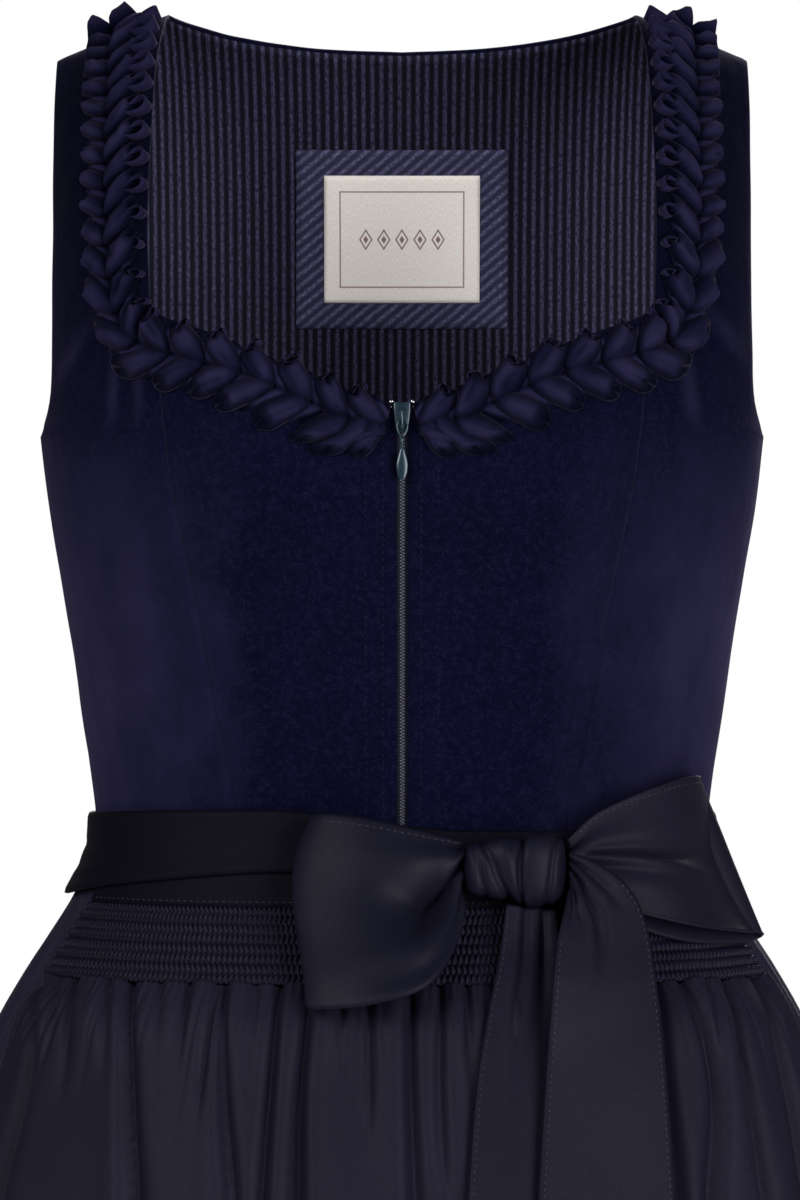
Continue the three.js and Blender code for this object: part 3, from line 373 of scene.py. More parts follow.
def labelMaterial(half):  # woven ribbon label with a plain frame and a row of lozenges, and no lettering
    material, tree = newMaterial("wovenLabel")
    uv = addNode(tree, "UVMap", uv_map="cloth")
    x, y = addNode(tree, "SeparateXYZ", {0: uv}, slice(2))
    sideways = addNode(tree, "Math", {0: x}, operation="ABSOLUTE")
    upright = addNode(tree, "Math", {0: y}, operation="ABSOLUTE")
    awayX = addNode(tree, "Math", {0: half[0], 1: sideways}, operation="SUBTRACT")
    awayY = addNode(tree, "Math", {0: half[1], 1: upright}, operation="SUBTRACT")
    toEdge = addNode(tree, "Math", {0: awayX, 1: awayY}, operation="MINIMUM")
    pastLine = addNode(tree, "Math", {0: toEdge, 1: labelMotif["frameIn"]}, operation="SUBTRACT")
    fromLine = addNode(tree, "Math", {0: pastLine}, operation="ABSOLUTE")
    frameLine = addNode(tree, "MapRange", {0: fromLine, 1: 0.00042, 2: 0.00026, 3: 0, 4: 0.75})
    steps = addNode(tree, "Math", {0: x, 1: labelMotif["pitch"]}, operation="DIVIDE")
    shifted = addNode(tree, "Math", {0: steps, 1: 0.5}, operation="ADD")
    centred = addNode(tree, "Math", {0: shifted}, operation="FRACT")
    fromCentre = addNode(tree, "Math", {0: centred, 1: 0.5}, operation="SUBTRACT")
    cell = addNode(tree, "Math", {0: fromCentre}, operation="ABSOLUTE")
    slanted = addNode(tree, "Math", {0: upright, 1: 0.62}, operation="MULTIPLY")
    lozenge = addNode(tree, "Math", {0: cell, 1: labelMotif["pitch"], 2: slanted}, operation="MULTIPLY_ADD")
    pastRing = addNode(tree, "Math", {0: lozenge, 1: labelMotif["ring"]}, operation="SUBTRACT")
    fromRing = addNode(tree, "Math", {0: pastRing}, operation="ABSOLUTE")
    ring = addNode(tree, "MapRange", {0: fromRing, 1: 0.00042, 2: 0.00024})
    core = addNode(tree, "MapRange", {0: lozenge, 1: labelMotif["core"], 2: 0.001})
    inRow = addNode(tree, "Math", {0: sideways, 1: labelMotif["rowHalf"]}, operation="LESS_THAN")
    drawnMotif = addNode(tree, "Math", {0: ring, 1: core}, operation="MAXIMUM")
    ornament = addNode(tree, "Math", {0: drawnMotif, 1: inRow}, operation="MULTIPLY")
    drawn = addNode(tree, "Mapping", {"Vector": uv, "Scale": (1, 0.25, 1)})
    yarn = addNode(tree, "TexNoise", {"Vector": drawn, "Scale": 2600})  # yarn of 0.4 mm
    yarnShare = addNode(tree, "MapRange", {0: yarn, 1: 0.35, 2: 0.7})
    cream = addNode(tree, "Mix", {0: yarnShare, 6: hexColour("f0e6de"), 7: hexColour("fffaf4")}, 2, data_type="RGBA")
    framed = addNode(tree, "Mix", {0: frameLine, 6: cream, 7: hexColour("6a3038")}, 2, data_type="RGBA")
    motif = addNode(tree, "Math", {0: ornament, 1: 0.85}, operation="MULTIPLY")
    relief = addNode(tree, "Math", {0: ornament, 1: 2, 2: yarn}, operation="MULTIPLY_ADD")
    shader = addNode(tree, "BsdfPrincipled", {
        "Base Color": addNode(tree, "Mix", {0: motif, 6: framed, 7: hexColour("67353e")}, 2, data_type="RGBA"),
        "Roughness": 0.6,
        "Specular IOR Level": 0.3,
        "Normal": addNode(tree, "Bump", {"Height": relief, "Distance": 0.0001}),
    })
    addNode(tree, "OutputMaterial", {"Surface": shader})
    return material


def plainMaterial(name, colour, second, scale, surface):
    material, tree = newMaterial(name)
    coords = addNode(tree, "TexCoord", output="Object")
    grain = addNode(tree, "TexNoise", {"Vector": coords, "Scale": scale, "Detail": 3})
    share = addNode(tree, "MapRange", {0: grain, 1: 0.35, 2: 0.65})
    tone = addNode(tree, "Mix", {0: share, 6: hexColour(colour), 7: hexColour(second)}, 2, data_type="RGBA")
    shader = addNode(tree, "BsdfPrincipled", {
        **surface,
        "Base Color": tone,
        "Normal": addNode(tree, "Bump", {"Height": grain, "Distance": 0.00005, "Strength": 0.4}),
    })
    addNode(tree, "OutputMaterial", {"Surface": shader})
    return material


labelHalf = (36.5, 30.2)
velvet = velvetMaterial("cottonVelvet", folded=False, sheen=0.4)
ruffleVelvet = velvetMaterial("cottonVelvetRibbon", folded=True, sheen=0.27)
# dark and light tone, gloss, roughness, and a shift that gives each piece its own stretch of cloth; one satin whose
# tones are painted lighter or darker per piece as painted light and shade
apronSatin = satinMaterial("apronSatin", "0e0c17", "1a1828", 0.07, 0.57, 0)
smockedSatin = satinMaterial("smockedSatin", "110f1c", "191727", 0.07, 0.46, 9, sewn=True)
tailSatin = satinMaterial("satinPaintedLighter", "0d0b16", "181624", 0.055, 0.52, 3)
bowSatin = satinMaterial("satinPaintedDarker", "0b0a16", "12111f", 0.07, 0.46, 3)
bandSatin = satinMaterial("bandSatin", "09070e", "0f0d16", 0.015, 0.5, 5)
skirtSatin = satinMaterial("skirtSatin", "131120", "201e30", 0.1, 0.48, 7)
liningCloth = stripedMaterial("stripedLining", 4.2 * mm, 0, "0e0c18", "464461")
patchCloth = stripedMaterial("stripedPatch", 4.2 * mm, math.radians(48), "2c2b43", "666486")
labelCloth = labelMaterial([h * mm for h in labelHalf])
thread = plainMaterial("sewingThread", "191724", "22202f", 3000, {"Roughness": 0.5})
tapeCloth = plainMaterial("zipTape", "07071a", "0e0e24", 2200, {"Roughness": 0.9})
nylon = plainMaterial("nylonCoil", "34353f", "4a4b57", 1500, {"Roughness": 0.35})
lacquer = plainMaterial("petrolLacquer", "08202d", "0a2736", 300, {  # zinc casting, dipped in clear petrol lacquer
    "Roughness": 0.3, "Metallic": 0.3, "Coat Weight": 0.3, "Coat Roughness": 0.14,
})
nickel = plainMaterial("nickelStop", "b4b4b8", "c4c4c8", 900, {"Roughness": 0.22, "Metallic": 1.0})


# mesh helpers
nodeNames = [o.name for o in bpy.context.scene.objects if o.type == "MESH"]


def finish(name, bm, material, body="garment", wall=0, offset=-1, uvAt=None):
    mesh = bpy.data.meshes.new(name)
    bm.to_mesh(mesh)
    bm.free()
    mesh.polygons.foreach_set("use_smooth", [True] * len(mesh.polygons))
    mesh.materials.append(material)
    if uvAt is not None:
        loopVerts = np.empty(len(mesh.loops), int)
        mesh.loops.foreach_get("vertex_index", loopVerts)
        mesh.uv_layers.new(name="cloth").data.foreach_set("uv", uvAt[loopVerts].ravel())
    piece = bpy.data.objects.new(name if name not in nodeNames else name + "_seen", mesh)
    bpy.context.scene.collection.objects.link(piece)
    if name in nodeNames:
        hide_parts(name)
    if wall:
        solid = piece.modifiers.new("wall", "SOLIDIFY")
        solid.thickness = wall * mm
        solid.offset = offset
        solid.use_quality_normals = True
    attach(piece, body)
    return piece


def clothPiece(name, at, columns, rows, wall, material, uvAt=None, ring=False, offset=-1, mark=None):
    bm = bmesh.new()
    bmesh.ops.create_grid(bm, x_segments=columns, y_segments=rows, size=0.5)
    flat = np.array([v.co[:2] for v in bm.verts]) + 0.5
    points = at(flat[:, 0], flat[:, 1]) * mm
    for vert, point in zip(bm.verts, points):
        vert.co = point
    if mark:  # a value per point that the material reads by its name
        layer = bm.verts.layers.float.new(mark[0])
        for vert, value in zip(bm.verts, mark[1](flat[:, 0], flat[:, 1])):
            vert[layer] = value
    uv = None if uvAt is None else np.stack(uvAt(flat[:, 0], flat[:, 1]), -1) * mm
    if ring:
        bmesh.ops.remove_doubles(bm, verts=bm.verts, dist=1e-6)
    return finish(name, bm, material, wall=wall, offset=offset, uvAt=uv)


def stitchRun(bm, line, normals, length, radius):  # a row of stitches: short threads sunk at both ends
    ahead = unit(np.gradient(line, axis=0))
    for point, along, out in zip(line, ahead, normals):
        along, out = Vector(along), Vector(out)
        side = along.cross(out).normalized()
        turn = Matrix((along, side, out)).transposed().to_4x4()
        place = Matrix.Translation(Vector(point) * mm) @ turn @ Matrix.Diagonal(
            (length * mm / 2, radius * mm, radius * mm, 1))
        bmesh.ops.create_icosphere(bm, subdivisions=1, radius=1, matrix=place)


def stitchesOn(name, runs, pitch, length, radius, material=thread):
    bm = bmesh.new()
    for at in runs:  # at(share, step) gives a point on the cloth; the line is spaced evenly at the pitch
        share = np.linspace(0, 1, 600)
        line = at(share, 0)
        walked = walkedAlong(line)
        count = max(2, int(walked[-1] / pitch))
        even = np.interp((np.arange(count) + 0.5) / count * walked[-1], walked, share)
        points = at(even, 0)
        stitchRun(bm, points, unit(at(even, 1) - points), length, radius)
    return finish(name, bm, material)


print("surfaces and materials ready")

# the bodice: seven velvet panels, rolled at their edges and dipped at their seams
bodice = {
    "wall": 1.6, "roll": 0.05, "footRoll": 0.6, "seamDip": 0.24, "seamWide": 2.6, "rim": 0.55, "rimWide": 3.4,
    "broadWave": 0.35, "fineWave": 0.16,
}
cornerClimb = float(climbOf(np.array(neckCornerX), np.array(neckCornerZ), frontArch))
frontCreases = table("x z endX endZ width depth", [
    (-124, -152, -126, -190, 2.6, -0.9),  # upright folds under the corner of the neckline
    (-115, -150, -114, -186, 2.2, -0.8),
    (-120, -154, -121, -188, 2.4, 0.8),
    (-106, -160, -104, -192, 3, 0.5),
    (-132, -150, -148, -178, 4, 1.0),  # drawn from the trim's corner to the underarm
    (-134, -140, -151, -166, 3.5, -0.8),
    (121, -148, 127, -186, 3.4, -0.9),
    (114, -152, 117, -188, 3, 0.8),
    (130, -146, 147, -168, 4, 0.9),
    (132, -134, 150, -156, 3.5, -0.8),
    (-150, -205, -118, -222, 6, 0.5),
    (150, -207, 120, -228, 6, 0.5),
    (-140, -300, -96, -318, 5, 0.5),  # slight pulls above the waist
    (-136, -330, -88, -340, 5, 0.6),
    (-60, -340, -20, -334, 5, 0.4),
    (138, -304, 98, -318, 5, 0.5),
    (134, -336, 92, -344, 5, 0.6),
    (24, -338, 62, -345, 5, 0.4),
    (-80, -262, -88, -360, 4, -0.35),
    (84, -262, 92, -352, 4, -0.35),
])


def frontHeight(climb):
    return onBodice(0 * climb, climb)[..., 2]


def backHeight(climb):
    return onBodice(0 * climb + 180, climb)[..., 2]


def princessTurn(climb):
    return bodiceTurn(read(princessSeam, frontHeight(climb), "x"), climb)


def backSeamTurn(climb):
    return 180 - bodiceTurn(read(backSeam, backHeight(climb), "x"), climb)


def backEdgeTurn(climb):
    return np.where(climb < 0, 90, read(backArmhole, backHeight(climb), "turn")) + sideTurn


def frontCentrePlace(share, v):
    z = neckCornerZ + 0 * share
    for _ in range(6):
        z = read(sweetheart, mix(zipHalf, read(princessSeam, z, "x"), share), "z")
    climb = mix(-1, climbOf(0 * z, z, frontArch), v)
    return mix(bodiceTurn(zipHalf + 0 * climb, climb), princessTurn(climb), share), climb


def frontSidePlace(share, v):
    climb = mix(-1, 1, v)
    neck = bodiceTurn(read(frontNeck, climb, "x"), climb)
    inner = np.where(climb < cornerClimb, princessTurn(climb), neck)
    outer = np.where(climb < 0, 90, read(frontArmhole, frontHeight(climb), "turn")) - sideTurn
    return mix(inner, outer, share), climb


def backSidePlace(share, v):
    climb = mix(-1, 1, v)
    return mix(backEdgeTurn(climb), backSeamTurn(climb), share), climb


def backCentrePlace(share, v):  # share runs from -1 to 1 across the back
    climb = 0.8 + 0 * share
    for _ in range(8):
        x = onBodice(np.abs(share) * (180 - backSeamTurn(climb)), climb)[..., 0]
        climb = np.where(x > shoulder["inner"], 1, climbOf(x, read(backNeck, x, "z"), backArch))
    climb = mix(-1, climb, v)
    return 180 + share * (180 - backSeamTurn(climb)), climb


def velvetPanel(name, place, side, columns, rows, height, rimEdge, flat):
    def panelPlace(u, v):
        turn, climb = place(u if side > 0 else 1 - u, v)
        return side * turn, climb

    def at(u, v):
        turn, climb = panelPlace(u, v)
        spot = onBodice(turn, climb)
        width = np.linalg.norm(onBodice(*panelPlace(1 + 0 * u, v)) - onBodice(*panelPlace(0 * u, v)), axis=-1)
        inner = (u if side > 0 else 1 - u) * width
        sides = np.minimum(u, 1 - u) * width
        top = (1 - v) * height
        lift = edgeRoll(np.minimum(sides, top), bodice["roll"]) + edgeRoll(v * height, bodice["footRoll"])
        lift = lift - bodice["seamDip"] * np.exp(-(sides / bodice["seamWide"]) ** 2)
        if rimEdge:
            away = top if rimEdge == "top" else np.where(climb > cornerClimb, inner, 99)
            lift = lift + bodice["rim"] * (1 - smooth(away, bodice["rimWide"] - 0.8, bodice["rimWide"]))
        front = spot[..., 1] < 0
        lift = lift + np.where(front, creases(frontCreases, spot[..., 0], spot[..., 2]), 0)
        lift = lift + bodice["broadWave"] * ripple(turn / 5, spot[..., 2] / 16, 5)
        lift = lift + bodice["fineWave"] * ripple(turn / 1.6, spot[..., 2] / 7, 6)
        return bodiceAt(turn, climb, lift)

    # the crests of the front creases, which the material paints greyer as painted sheen
    def ridges(u, v):
        spot = onBodice(*panelPlace(u, v))
        raised = np.clip(0.9 * creases(frontCreases, spot[..., 0], spot[..., 2]), 0, 0.8)
        return np.where(spot[..., 1] < 0, raised, 0)

    piece = clothPiece(name, at, columns, rows, bodice["wall"], velvet, mark=("crest", ridges))


for side, word in ((1, "left"), (-1, "right")):
    for name, place, columns, rows, height, rimEdge, flat, area in (
        ("bodice_front_centre_", frontCentrePlace, 44, 80, 205, "top", (0.125, 0.245), 0.0205),
        ("bodice_front_side_", frontSidePlace, 40, 140, 400, "inner", (0.125, 0.4), 0.0345),
        ("bodice_back_side_", backSidePlace, 40, 110, 390, None, (0.145, 0.4), 0.04),
    ):
        velvetPanel(name + word, place, side, columns, rows, height, rimEdge, flat)


def wideBack(u, v):
    return backCentrePlace(2 * u - 1, v)


velvetPanel("bodice_back_centre", wideBack, 1, 84, 100, 380, "top", (0.27, 0.4))
print("velvet panels made")

# the lining inside the back, its bias patch and the label
lining = {"lift": -2.1, "wall": 0.9, "reach": 1.72}  # reach: the side panels, counted in half widths of the back
ringTurn = np.linspace(90, 270, 721)
ringPoints = onBodice(ringTurn, 0 * ringTurn + 0.3)
ringArc = walkedAlong(ringPoints)


def liningPlace(u, v):
    share = (2 * u - 1) * lining["reach"]
    inner, climb = backCentrePlace(np.clip(share, -1, 1), v)
    sideClimb = mix(-1, 1, v)
    out = np.clip((np.abs(share) - 1) / (lining["reach"] - 1), 0, 1)
    outer = mix(backSeamTurn(sideClimb), backEdgeTurn(sideClimb), out)
    middle = np.abs(share) <= 1
    turn = np.where(middle, inner, np.where(share < 0, outer, 360 - outer))
    return turn, np.where(middle, climb, sideClimb)


def liningAt(u, v):
    turn, climb = liningPlace(u, v)
    lift = lining["lift"] + 0.25 * ripple(turn / 4, climb * 7, 21) - edgeRoll((1 - v) * 380, 0.5)
    return bodiceAt(turn, climb, lift)


def liningUv(u, v):
    turn, climb = liningPlace(u, v)
    return np.interp(turn, ringTurn, ringArc), onBodice(turn, climb)[..., 2]


liningPiece = clothPiece("lining_back", liningAt, 96, 60, lining["wall"], liningCloth, liningUv)


patch = {"half": 49.7, "foot": -135.5, "top": -52, "lift": -3.6, "wall": 0.8, "sewnHalf": 47.6, "sewnLift": -4.5}
label = {"half": labelHalf[0], "foot": -123.3, "top": -63.5, "lift": -4.9, "wall": 0.7}


def patchPlace(x, v, sizes):
    climb = climbOf(x, mix(sizes["foot"], sizes["top"], v), backArch)
    return 180 - bodiceTurn(x, climb), climb


def onLining(name, sizes, material, flat):
    half = sizes["half"]

    def at(u, v):
        x = mix(half, -half, u)
        turn, climb = patchPlace(x, v, sizes)
        edge = np.minimum(np.minimum(u, 1 - u) * 2 * half, np.minimum(v, 1 - v) * 2 * half)
        return bodiceAt(turn, climb, sizes["lift"] - edgeRoll(edge, 0.45) + 0.12 * ripple(x / 9, v * 8, 31))

    def uvAt(u, v):  # in millimetres from the middle
        return mix(half, -half, u), mix(-1, 1, v) * flat[1] * 500

    piece = clothPiece(name, at, 40, 34, sizes["wall"], material, uvAt)


onLining("label_patch", patch, patchCloth, (0.1, 0.09))
onLining("label", label, labelCloth, (0.073, 0.0604))
print("lining and label made")

# the hip line's gathers, shared by apron and skirt
apron = {"from": -64, "to": 66, "wall": 1.2, "evenAt": -440}
# thin folds between broad ridges: x at the smocking's foot, then 43 mm and 93 mm below it,
# the fold's depth, the side that its ridge is on, and its lower end
apronFolds = table("topX midX lowX depth ridge ends", [
    (-158, -163, -176, 4, 1, -1300),
    (-149, -153, -158, 2.2, -1, -470),
    (-141.4, -145.7, -150, 3.4, 1, -482),
    (-126, -127.3, -129, 3, -1, -474),
    (-117.4, -117, -114.4, 5, -1, -1300),
    (-104, -105, -106, 2, 1, -462),
    (-91.3, -96, -99, 3.2, 1, -470),
    (-79, -85.5, -90, 3.6, 1, -492),
    (-76, -76.3, -72.4, 4.4, -1, -1300),
    (-63, -65, -66, 2.2, -1, -466),
    (-52.3, -56.6, -60.8, 4.4, 1, -1300),
    (-38.6, -43.3, -45, 5, 1, -1300),
    (-26, -27, -27, 2.6, -1, -474),
    (-15, -14, -15, 3, 1, -505),
    (3.4, 4, 5.1, 4.4, -1, -1300),
    (16.3, 16, 18, 3.4, 1, -530),
    (27.4, 29, 30, 3, -1, -480),
    (41, 44, 47, 4, 1, -1300),
    (56, 58, 60, 3, -1, -520),
    (70, 73, 77, 4.4, 1, -1300),
    (84, 87, 90, 3, -1, -490),
    (97, 100, 104, 4, 1, -1300),
    (110, 114, 118.3, 5.5, -1, -1300),
    (121, 134.5, 132.4, 4.6, 1, -1300),
    (131, 138, 143, 2.4, -1, -480),
    (140, 149, 156.8, 4.6, -1, -1300),
    (155, 168, 177, 4, 1, -1300),
])
evenTurns = np.linspace(apron["from"], apron["to"], 1500)
evenRow = onHip(evenTurns, apron["evenAt"] + 0 * evenTurns)
evenArc = walkedAlong(evenRow)


def apronTurn(u):  # columns spaced evenly along the cloth
    return np.interp(u, evenArc / evenArc[-1], evenTurns)


foldLevels = {"z": np.array((-520.0, -470.0, -427.0)), "narrow": 2.1, "usualDepth": 5}
foldRidge = {"lift": 2.2, "wide": 5, "reach": 26}
skirtFolds = {"from": 71, "step": 9.48, "count": 24, "depth": 6, "sway": 2, "wide": 3.1, "grows": 2}


def gatherDepth(folds, turn, z, topZ, hemZ, sharp):
    total = 0 * turn
    for at, depth, wide, ends, grows in zip(*folds.values()):
        near = np.exp(-np.abs((turn - at) / wide) ** sharp)
        down = (topZ - z) / (topZ - hemZ)
        fade = smooth(z, ends, mix(ends, topZ, 0.75))
        total = total + depth * near * (mix(1, grows, down) if ends < hemZ else fade)
    return total


def foldLift(folds, point):
    z = point[..., 2]
    total = 0 * z
    lowest = foldLevels["z"][0]
    spread = read(hipRows, np.minimum(z, lowest), "halfWidth") / read(hipRows, lowest, "halfWidth")
    down = smooth(-z, -smockFootZ, 700)
    for topX, midX, lowX, depth, ridge, ends in zip(*folds.values()):
        line = {"z": foldLevels["z"], "x": np.array([lowX, midX, topX])}
        away = point[..., 0] - read(line, np.maximum(z, lowest), "x") * spread
        fade = smooth(z, ends, ends + 40) if ends > apronHemZ else 1 + 1.2 * down
        wide = foldLevels["narrow"] * (1 + 4 * down)
        past = np.maximum(away * ridge, 0)
        beside = past / foldRidge["wide"]
        raised = foldRidge["lift"] * past / foldRidge["wide"] * np.exp(1 - beside)
        raised = raised * np.exp(-(past / foldRidge["reach"]) ** 2)
        sunk = depth * np.exp(-np.abs(away / wide) ** 1.5)
        total = total + fade * (raised * depth / foldLevels["usualDepth"] - sunk)
    return total


def fineGathers(start, stop, step, seed, reach):  # many small gathers that die out below the seam
    random = np.random.default_rng(seed)
    rows = []
    at = start
    while at < stop:
        long = mix(*reach, random.random() ** 3)
        depth = random.uniform(0.6, 1.6)
        wide = random.uniform(0.26, 0.4) * (1 + long / 200)
        rows.append((at, depth, wide, long, random.normal(0, 0.9)))
        at += step * random.uniform(0.65, 1.4)
    return table("turn depth wide long lean", rows)


def gatherRipple(rows, turn, down):
    total = 0 * turn
    for at, depth, wide, long, lean in zip(*rows.values()):
        fade = np.clip(1 - down / long, 0, 1) ** 1.3
        centre = at + lean * down / 60
        total = total + depth * fade * np.exp(-np.abs((turn - centre) / (wide * (1 + down / 90))) ** 1.6)
    return total


# the apron: waistband, smocking, gathered skirt
waistband = {"lift": -0.3, "wall": 1.1, "top": -363, "high": 32}


def waistbandAt(u, v):
    turn = apronTurn(u)
    z = mix(bandFootZ, waistband["top"], v)
    foot = v * waistband["high"]
    lift = waistband["lift"] + edgeRoll(foot, 0.7) + 0.25 * ripple(turn / 3, z / 9, 41)
    lift = lift - 0.28 * np.exp(-((foot - 2.4) / 0.7) ** 2)
    return hipAt(turn, z, lift)


smocking = {
    "cells": 142, "rows": 8, "firstRow": 2.2, "lastRow": 0.3, "relief": 2.1, "sunk": 0.45,
    "rowWide": 0.85, "threadAndShadeWide": 0.5, "wall": 0.8,
}
smockTop = bandFootZ - gap
smockPitch = (smockTop - smockFootZ - smocking["firstRow"] - smocking["lastRow"]) / (smocking["rows"] - 1)


def smockRows(u, v):  # where a point lies between the zigzag rows, and how far it is from the nearest one
    z = mix(smockFootZ, smockTop, v)
    cells = smocking["cells"] * u + 0.1 * ripple(u * 40, v * 3, 51)
    level = (smockTop - z - smocking["firstRow"] + 0.5 * np.sin(2 * math.pi * cells)) / smockPitch
    return cells, np.floor(level), np.abs(level - np.round(level)) * smockPitch


def smockingAt(u, v):
    turn = apronTurn(u)
    z = mix(smockFootZ, smockTop, v)
    cells, band, toRow = smockRows(u, v)
    rib = (0.5 + 0.5 * np.cos(2 * math.pi * (cells + 0.5 * (band % 2)))) ** 0.8
    body = 1 - np.exp(-(toRow / smocking["rowWide"]) ** 2)
    lift = smocking["relief"] * (rib * body - smocking["sunk"]) + 0.4 * ripple(turn / 4, z / 12, 52)
    return hipAt(turn, z, lift)


# dark along the stitch rows: the thread, and painted shade in the pits
def smockThreadAndShade(u, v):
    return 0.9 * np.exp(-(smockRows(u, v)[2] / smocking["threadAndShadeWide"]) ** 2)


apronTop = smockFootZ - gap
apronFine = fineGathers(apron["from"], apron["to"], 1.0, seed=61, reach=(10, 90))


def apronSkirtAt(u, v):
    turn = apronTurn(u)
    z = mix(apronHemZ, apronTop, 1 - (1 - v) ** 1.7)
    down = apronTop - z
    swayed = turn + 0.35 * ripple(turn / 9, z / 60, 62) * smooth(down, 0, 120)
    folds = foldLift(apronFolds, onHip(swayed, z))
    fine = gatherRipple(apronFine, turn, down)
    puff = 2.2 * np.exp(-((down - 16) / 15) ** 2)
    broad = 2.0 * ripple(turn / 4.2, z / 120, 63) * smooth(down, 10, 120)
    hem = edgeRoll(v * 300, 1.2)
    side = edgeRoll(np.minimum(u, 1 - u) * 700, 0.9)
    return hipAt(turn, z, puff + broad + folds - fine + hem + side)


for name, at, columns, rows, wall, material, flat, held in (
    ("apron_waistband", waistbandAt, 200, 14, waistband["wall"], bandSatin, (0.34, 0.033), "stretched"),
    ("apron_smocking", smockingAt, 760, 48, smocking["wall"], smockedSatin, (0.56, 0.04), "gathered"),
    ("apron_skirt", apronSkirtAt, 500, 72, apron["wall"], apronSatin, (0.75, 0.63), "gathered"),
):
    sewn = ("thread", smockThreadAndShade) if name == "apron_smocking" else None
    piece = clothPiece(name, at, columns, rows, wall, material, mark=sewn)
print("apron made")

# the tie band round the waist
tieEdges = table("turn top foot", [
    (-180, -359, -396),
    (-90, -358, -395),
    (-55, -355.5, -388),
    (-22, -353.8, -381.5),
    (-13, -354.8, -381.2),
    (-5, -357.6, -381.1),
    (1, -361, -381),
    (6, -362.7, -381),
    (18, -362.9, -381.3),
    (29, -362.6, -382.8),
    (34, -358.5, -383.7),
    (45, -355.2, -386),
    (90, -358, -395),
    (180, -359, -396),
])
tieBand = {"lift": 2.3, "wall": 1.5, "high": 36, "drawnIn": 1.6, "creaseRun": 50}
tieCreases = table("turn share endTurn endShare width depth", [
    (-100, 0.3, -58, 0.42, 0.07, 0.7),
    (-96, 0.62, -66, 0.6, 0.06, 0.6),
    (-84, 0.15, -60, 0.22, 0.05, 0.6),
    (-60, 0.8, -30, 0.72, 0.08, 0.4),
    (-40, 0.45, -16, 0.5, 0.09, 0.4),
    (96, 0.35, 62, 0.45, 0.08, 0.7),
    (100, 0.66, 64, 0.62, 0.06, 0.5),
    (118, 0.5, 152, 0.44, 0.08, 0.5),
    (-120, 0.52, -150, 0.6, 0.08, 0.5),
    (134, 0.3, 160, 0.34, 0.06, 0.4),
])
for column in ("turn", "endTurn"):  # the creases run much further round than across
    tieCreases[column] = tieCreases[column] / tieBand["creaseRun"]


def tieAt(u, v):
    turn = mix(-180, 180, u)
    z = mix(read(tieEdges, turn, "foot"), read(tieEdges, turn, "top"), v)
    edge = np.minimum(v, 1 - v) * tieBand["high"]
    lift = tieBand["lift"] + edgeRoll(edge, 0.8) - 0.3 * np.exp(-((edge - 2.4) / 0.6) ** 2)
    drawnIn = tieBand["drawnIn"] * (1 - v) ** 2 * smooth(np.abs(turn), 92, 118)  # over the gathers behind
    lift = lift + creases(tieCreases, turn / tieBand["creaseRun"], v) - drawnIn
    return hipAt(turn, z, lift)


tiePiece = clothPiece("tie_band", tieAt, 260, 20, tieBand["wall"], bandSatin, ring=True)

# the skirt: plain under the apron, gathered where it shows
skirt = {"wall": 1.3, "lift": -2.2, "heldIn": 15}  # held in under the apron
skirtTroughs = table("turn depth wide ends grows", [
    (
        skirtFolds["from"] + k * skirtFolds["step"] + 1.2 * math.sin(k * 2.4),
        skirtFolds["depth"] + skirtFolds["sway"] * math.sin(k * 4.1),
        skirtFolds["wide"],
        -620 if k % 3 == 1 else -1200,
        skirtFolds["grows"],
    )
    for k in range(skirtFolds["count"])
])
skirtFine = fineGathers(66, 294, 1.15, seed=71, reach=(20, 170))


def skirtLift(turn, z):
    away = np.abs(np.where(turn > 180, turn - 360, turn))
    under = 1 - smooth(away, 60, 76)
    down = smooth(-z, 392, 470)
    rounded = np.where(turn < 0, turn + 360, turn)
    swayed = rounded + 0.6 * ripple(rounded / 9, z / 100, 72) * smooth(-z, 420, 560)
    gathers = gatherDepth(skirtTroughs, swayed, z, skirtTopZ, skirtHemZ, 1.6)
    fine = gatherRipple(skirtFine, rounded, np.maximum(-z - 392, 0))
    shown = smooth(away, 64, 70)
    started = smooth(-z, 384, 430)
    broad = 2.4 * ripple(rounded / 4, z / 170, 73) * smooth(-z, 450, 600)
    lift = skirt["lift"] - skirt["heldIn"] * under * down - (gathers - broad) * shown * started
    return lift - fine * shown * smooth(-z, 390, 400)


def skirtAt(start, stop, dense):
    def at(u, v):
        turn = mix(start, stop, u)
        if dense:  # columns are closer together at the two sides that show
            turn = stop * power(2 * u - 1, 0.5)
        z = mix(skirtHemZ, skirtTopZ, 1 - (1 - v) ** 1.5)
        edge = np.minimum(u, 1 - u) * 700
        return hipAt(turn, z, skirtLift(turn, z) + edgeRoll(edge, 0.9) + edgeRoll(v * 300, 1.2))
    return at


for name, at, columns, rows, flat in (
    ("skirt_front", skirtAt(-90.03, 90.03, True), 270, 66, (0.9, 0.72)),
    ("skirt_back", skirtAt(89.97, 270.03, False), 330, 52, (0.95, 0.72)),
):
    piece = clothPiece(name, at, columns, rows, skirt["wall"], skirtSatin)
print("tie band and skirt made")

# the bow
leftLoop = table("step topX top footX foot out", [
    (0, 25.6, -367, 25.6, -387, 13),
    (1, 17, -364.5, 22, -408, 17),
    (2, 2, -360.5, 10, -427, 23),
    (3, -16, -356.5, -12, -434, 24),
    (4, -31, -354.5, -31, -436, 20),
    (5, -38.5, -355, -41, -436, 13.5),
    (6, -34, -356.5, -34, -434.5, 7),
    (7, -18, -359.5, -14, -430, 4.6),
    (8, 4, -364, 10, -420, 4.4),
    (9, 25.6, -369, 25.6, -385, 5),
])
rightLoop = table("step topX top footX foot out", [
    (0, 71.9, -367, 71.9, -385, 13),
    (1, 84, -355.5, 86, -393, 16),
    (2, 102, -347, 106, -399, 20),
    (3, 119, -341.5, 128, -404.5, 21),
    (4, 128, -340, 151, -408.5, 18),
    (5, 130, -341, 159, -410.5, 11),
    (6, 124, -343, 151, -413, 5.4),
    (7, 108, -349, 122, -410.5, 4.8),
    (8, 90, -358, 98, -402, 5),
    (9, 71.9, -369, 71.9, -383, 5),
])
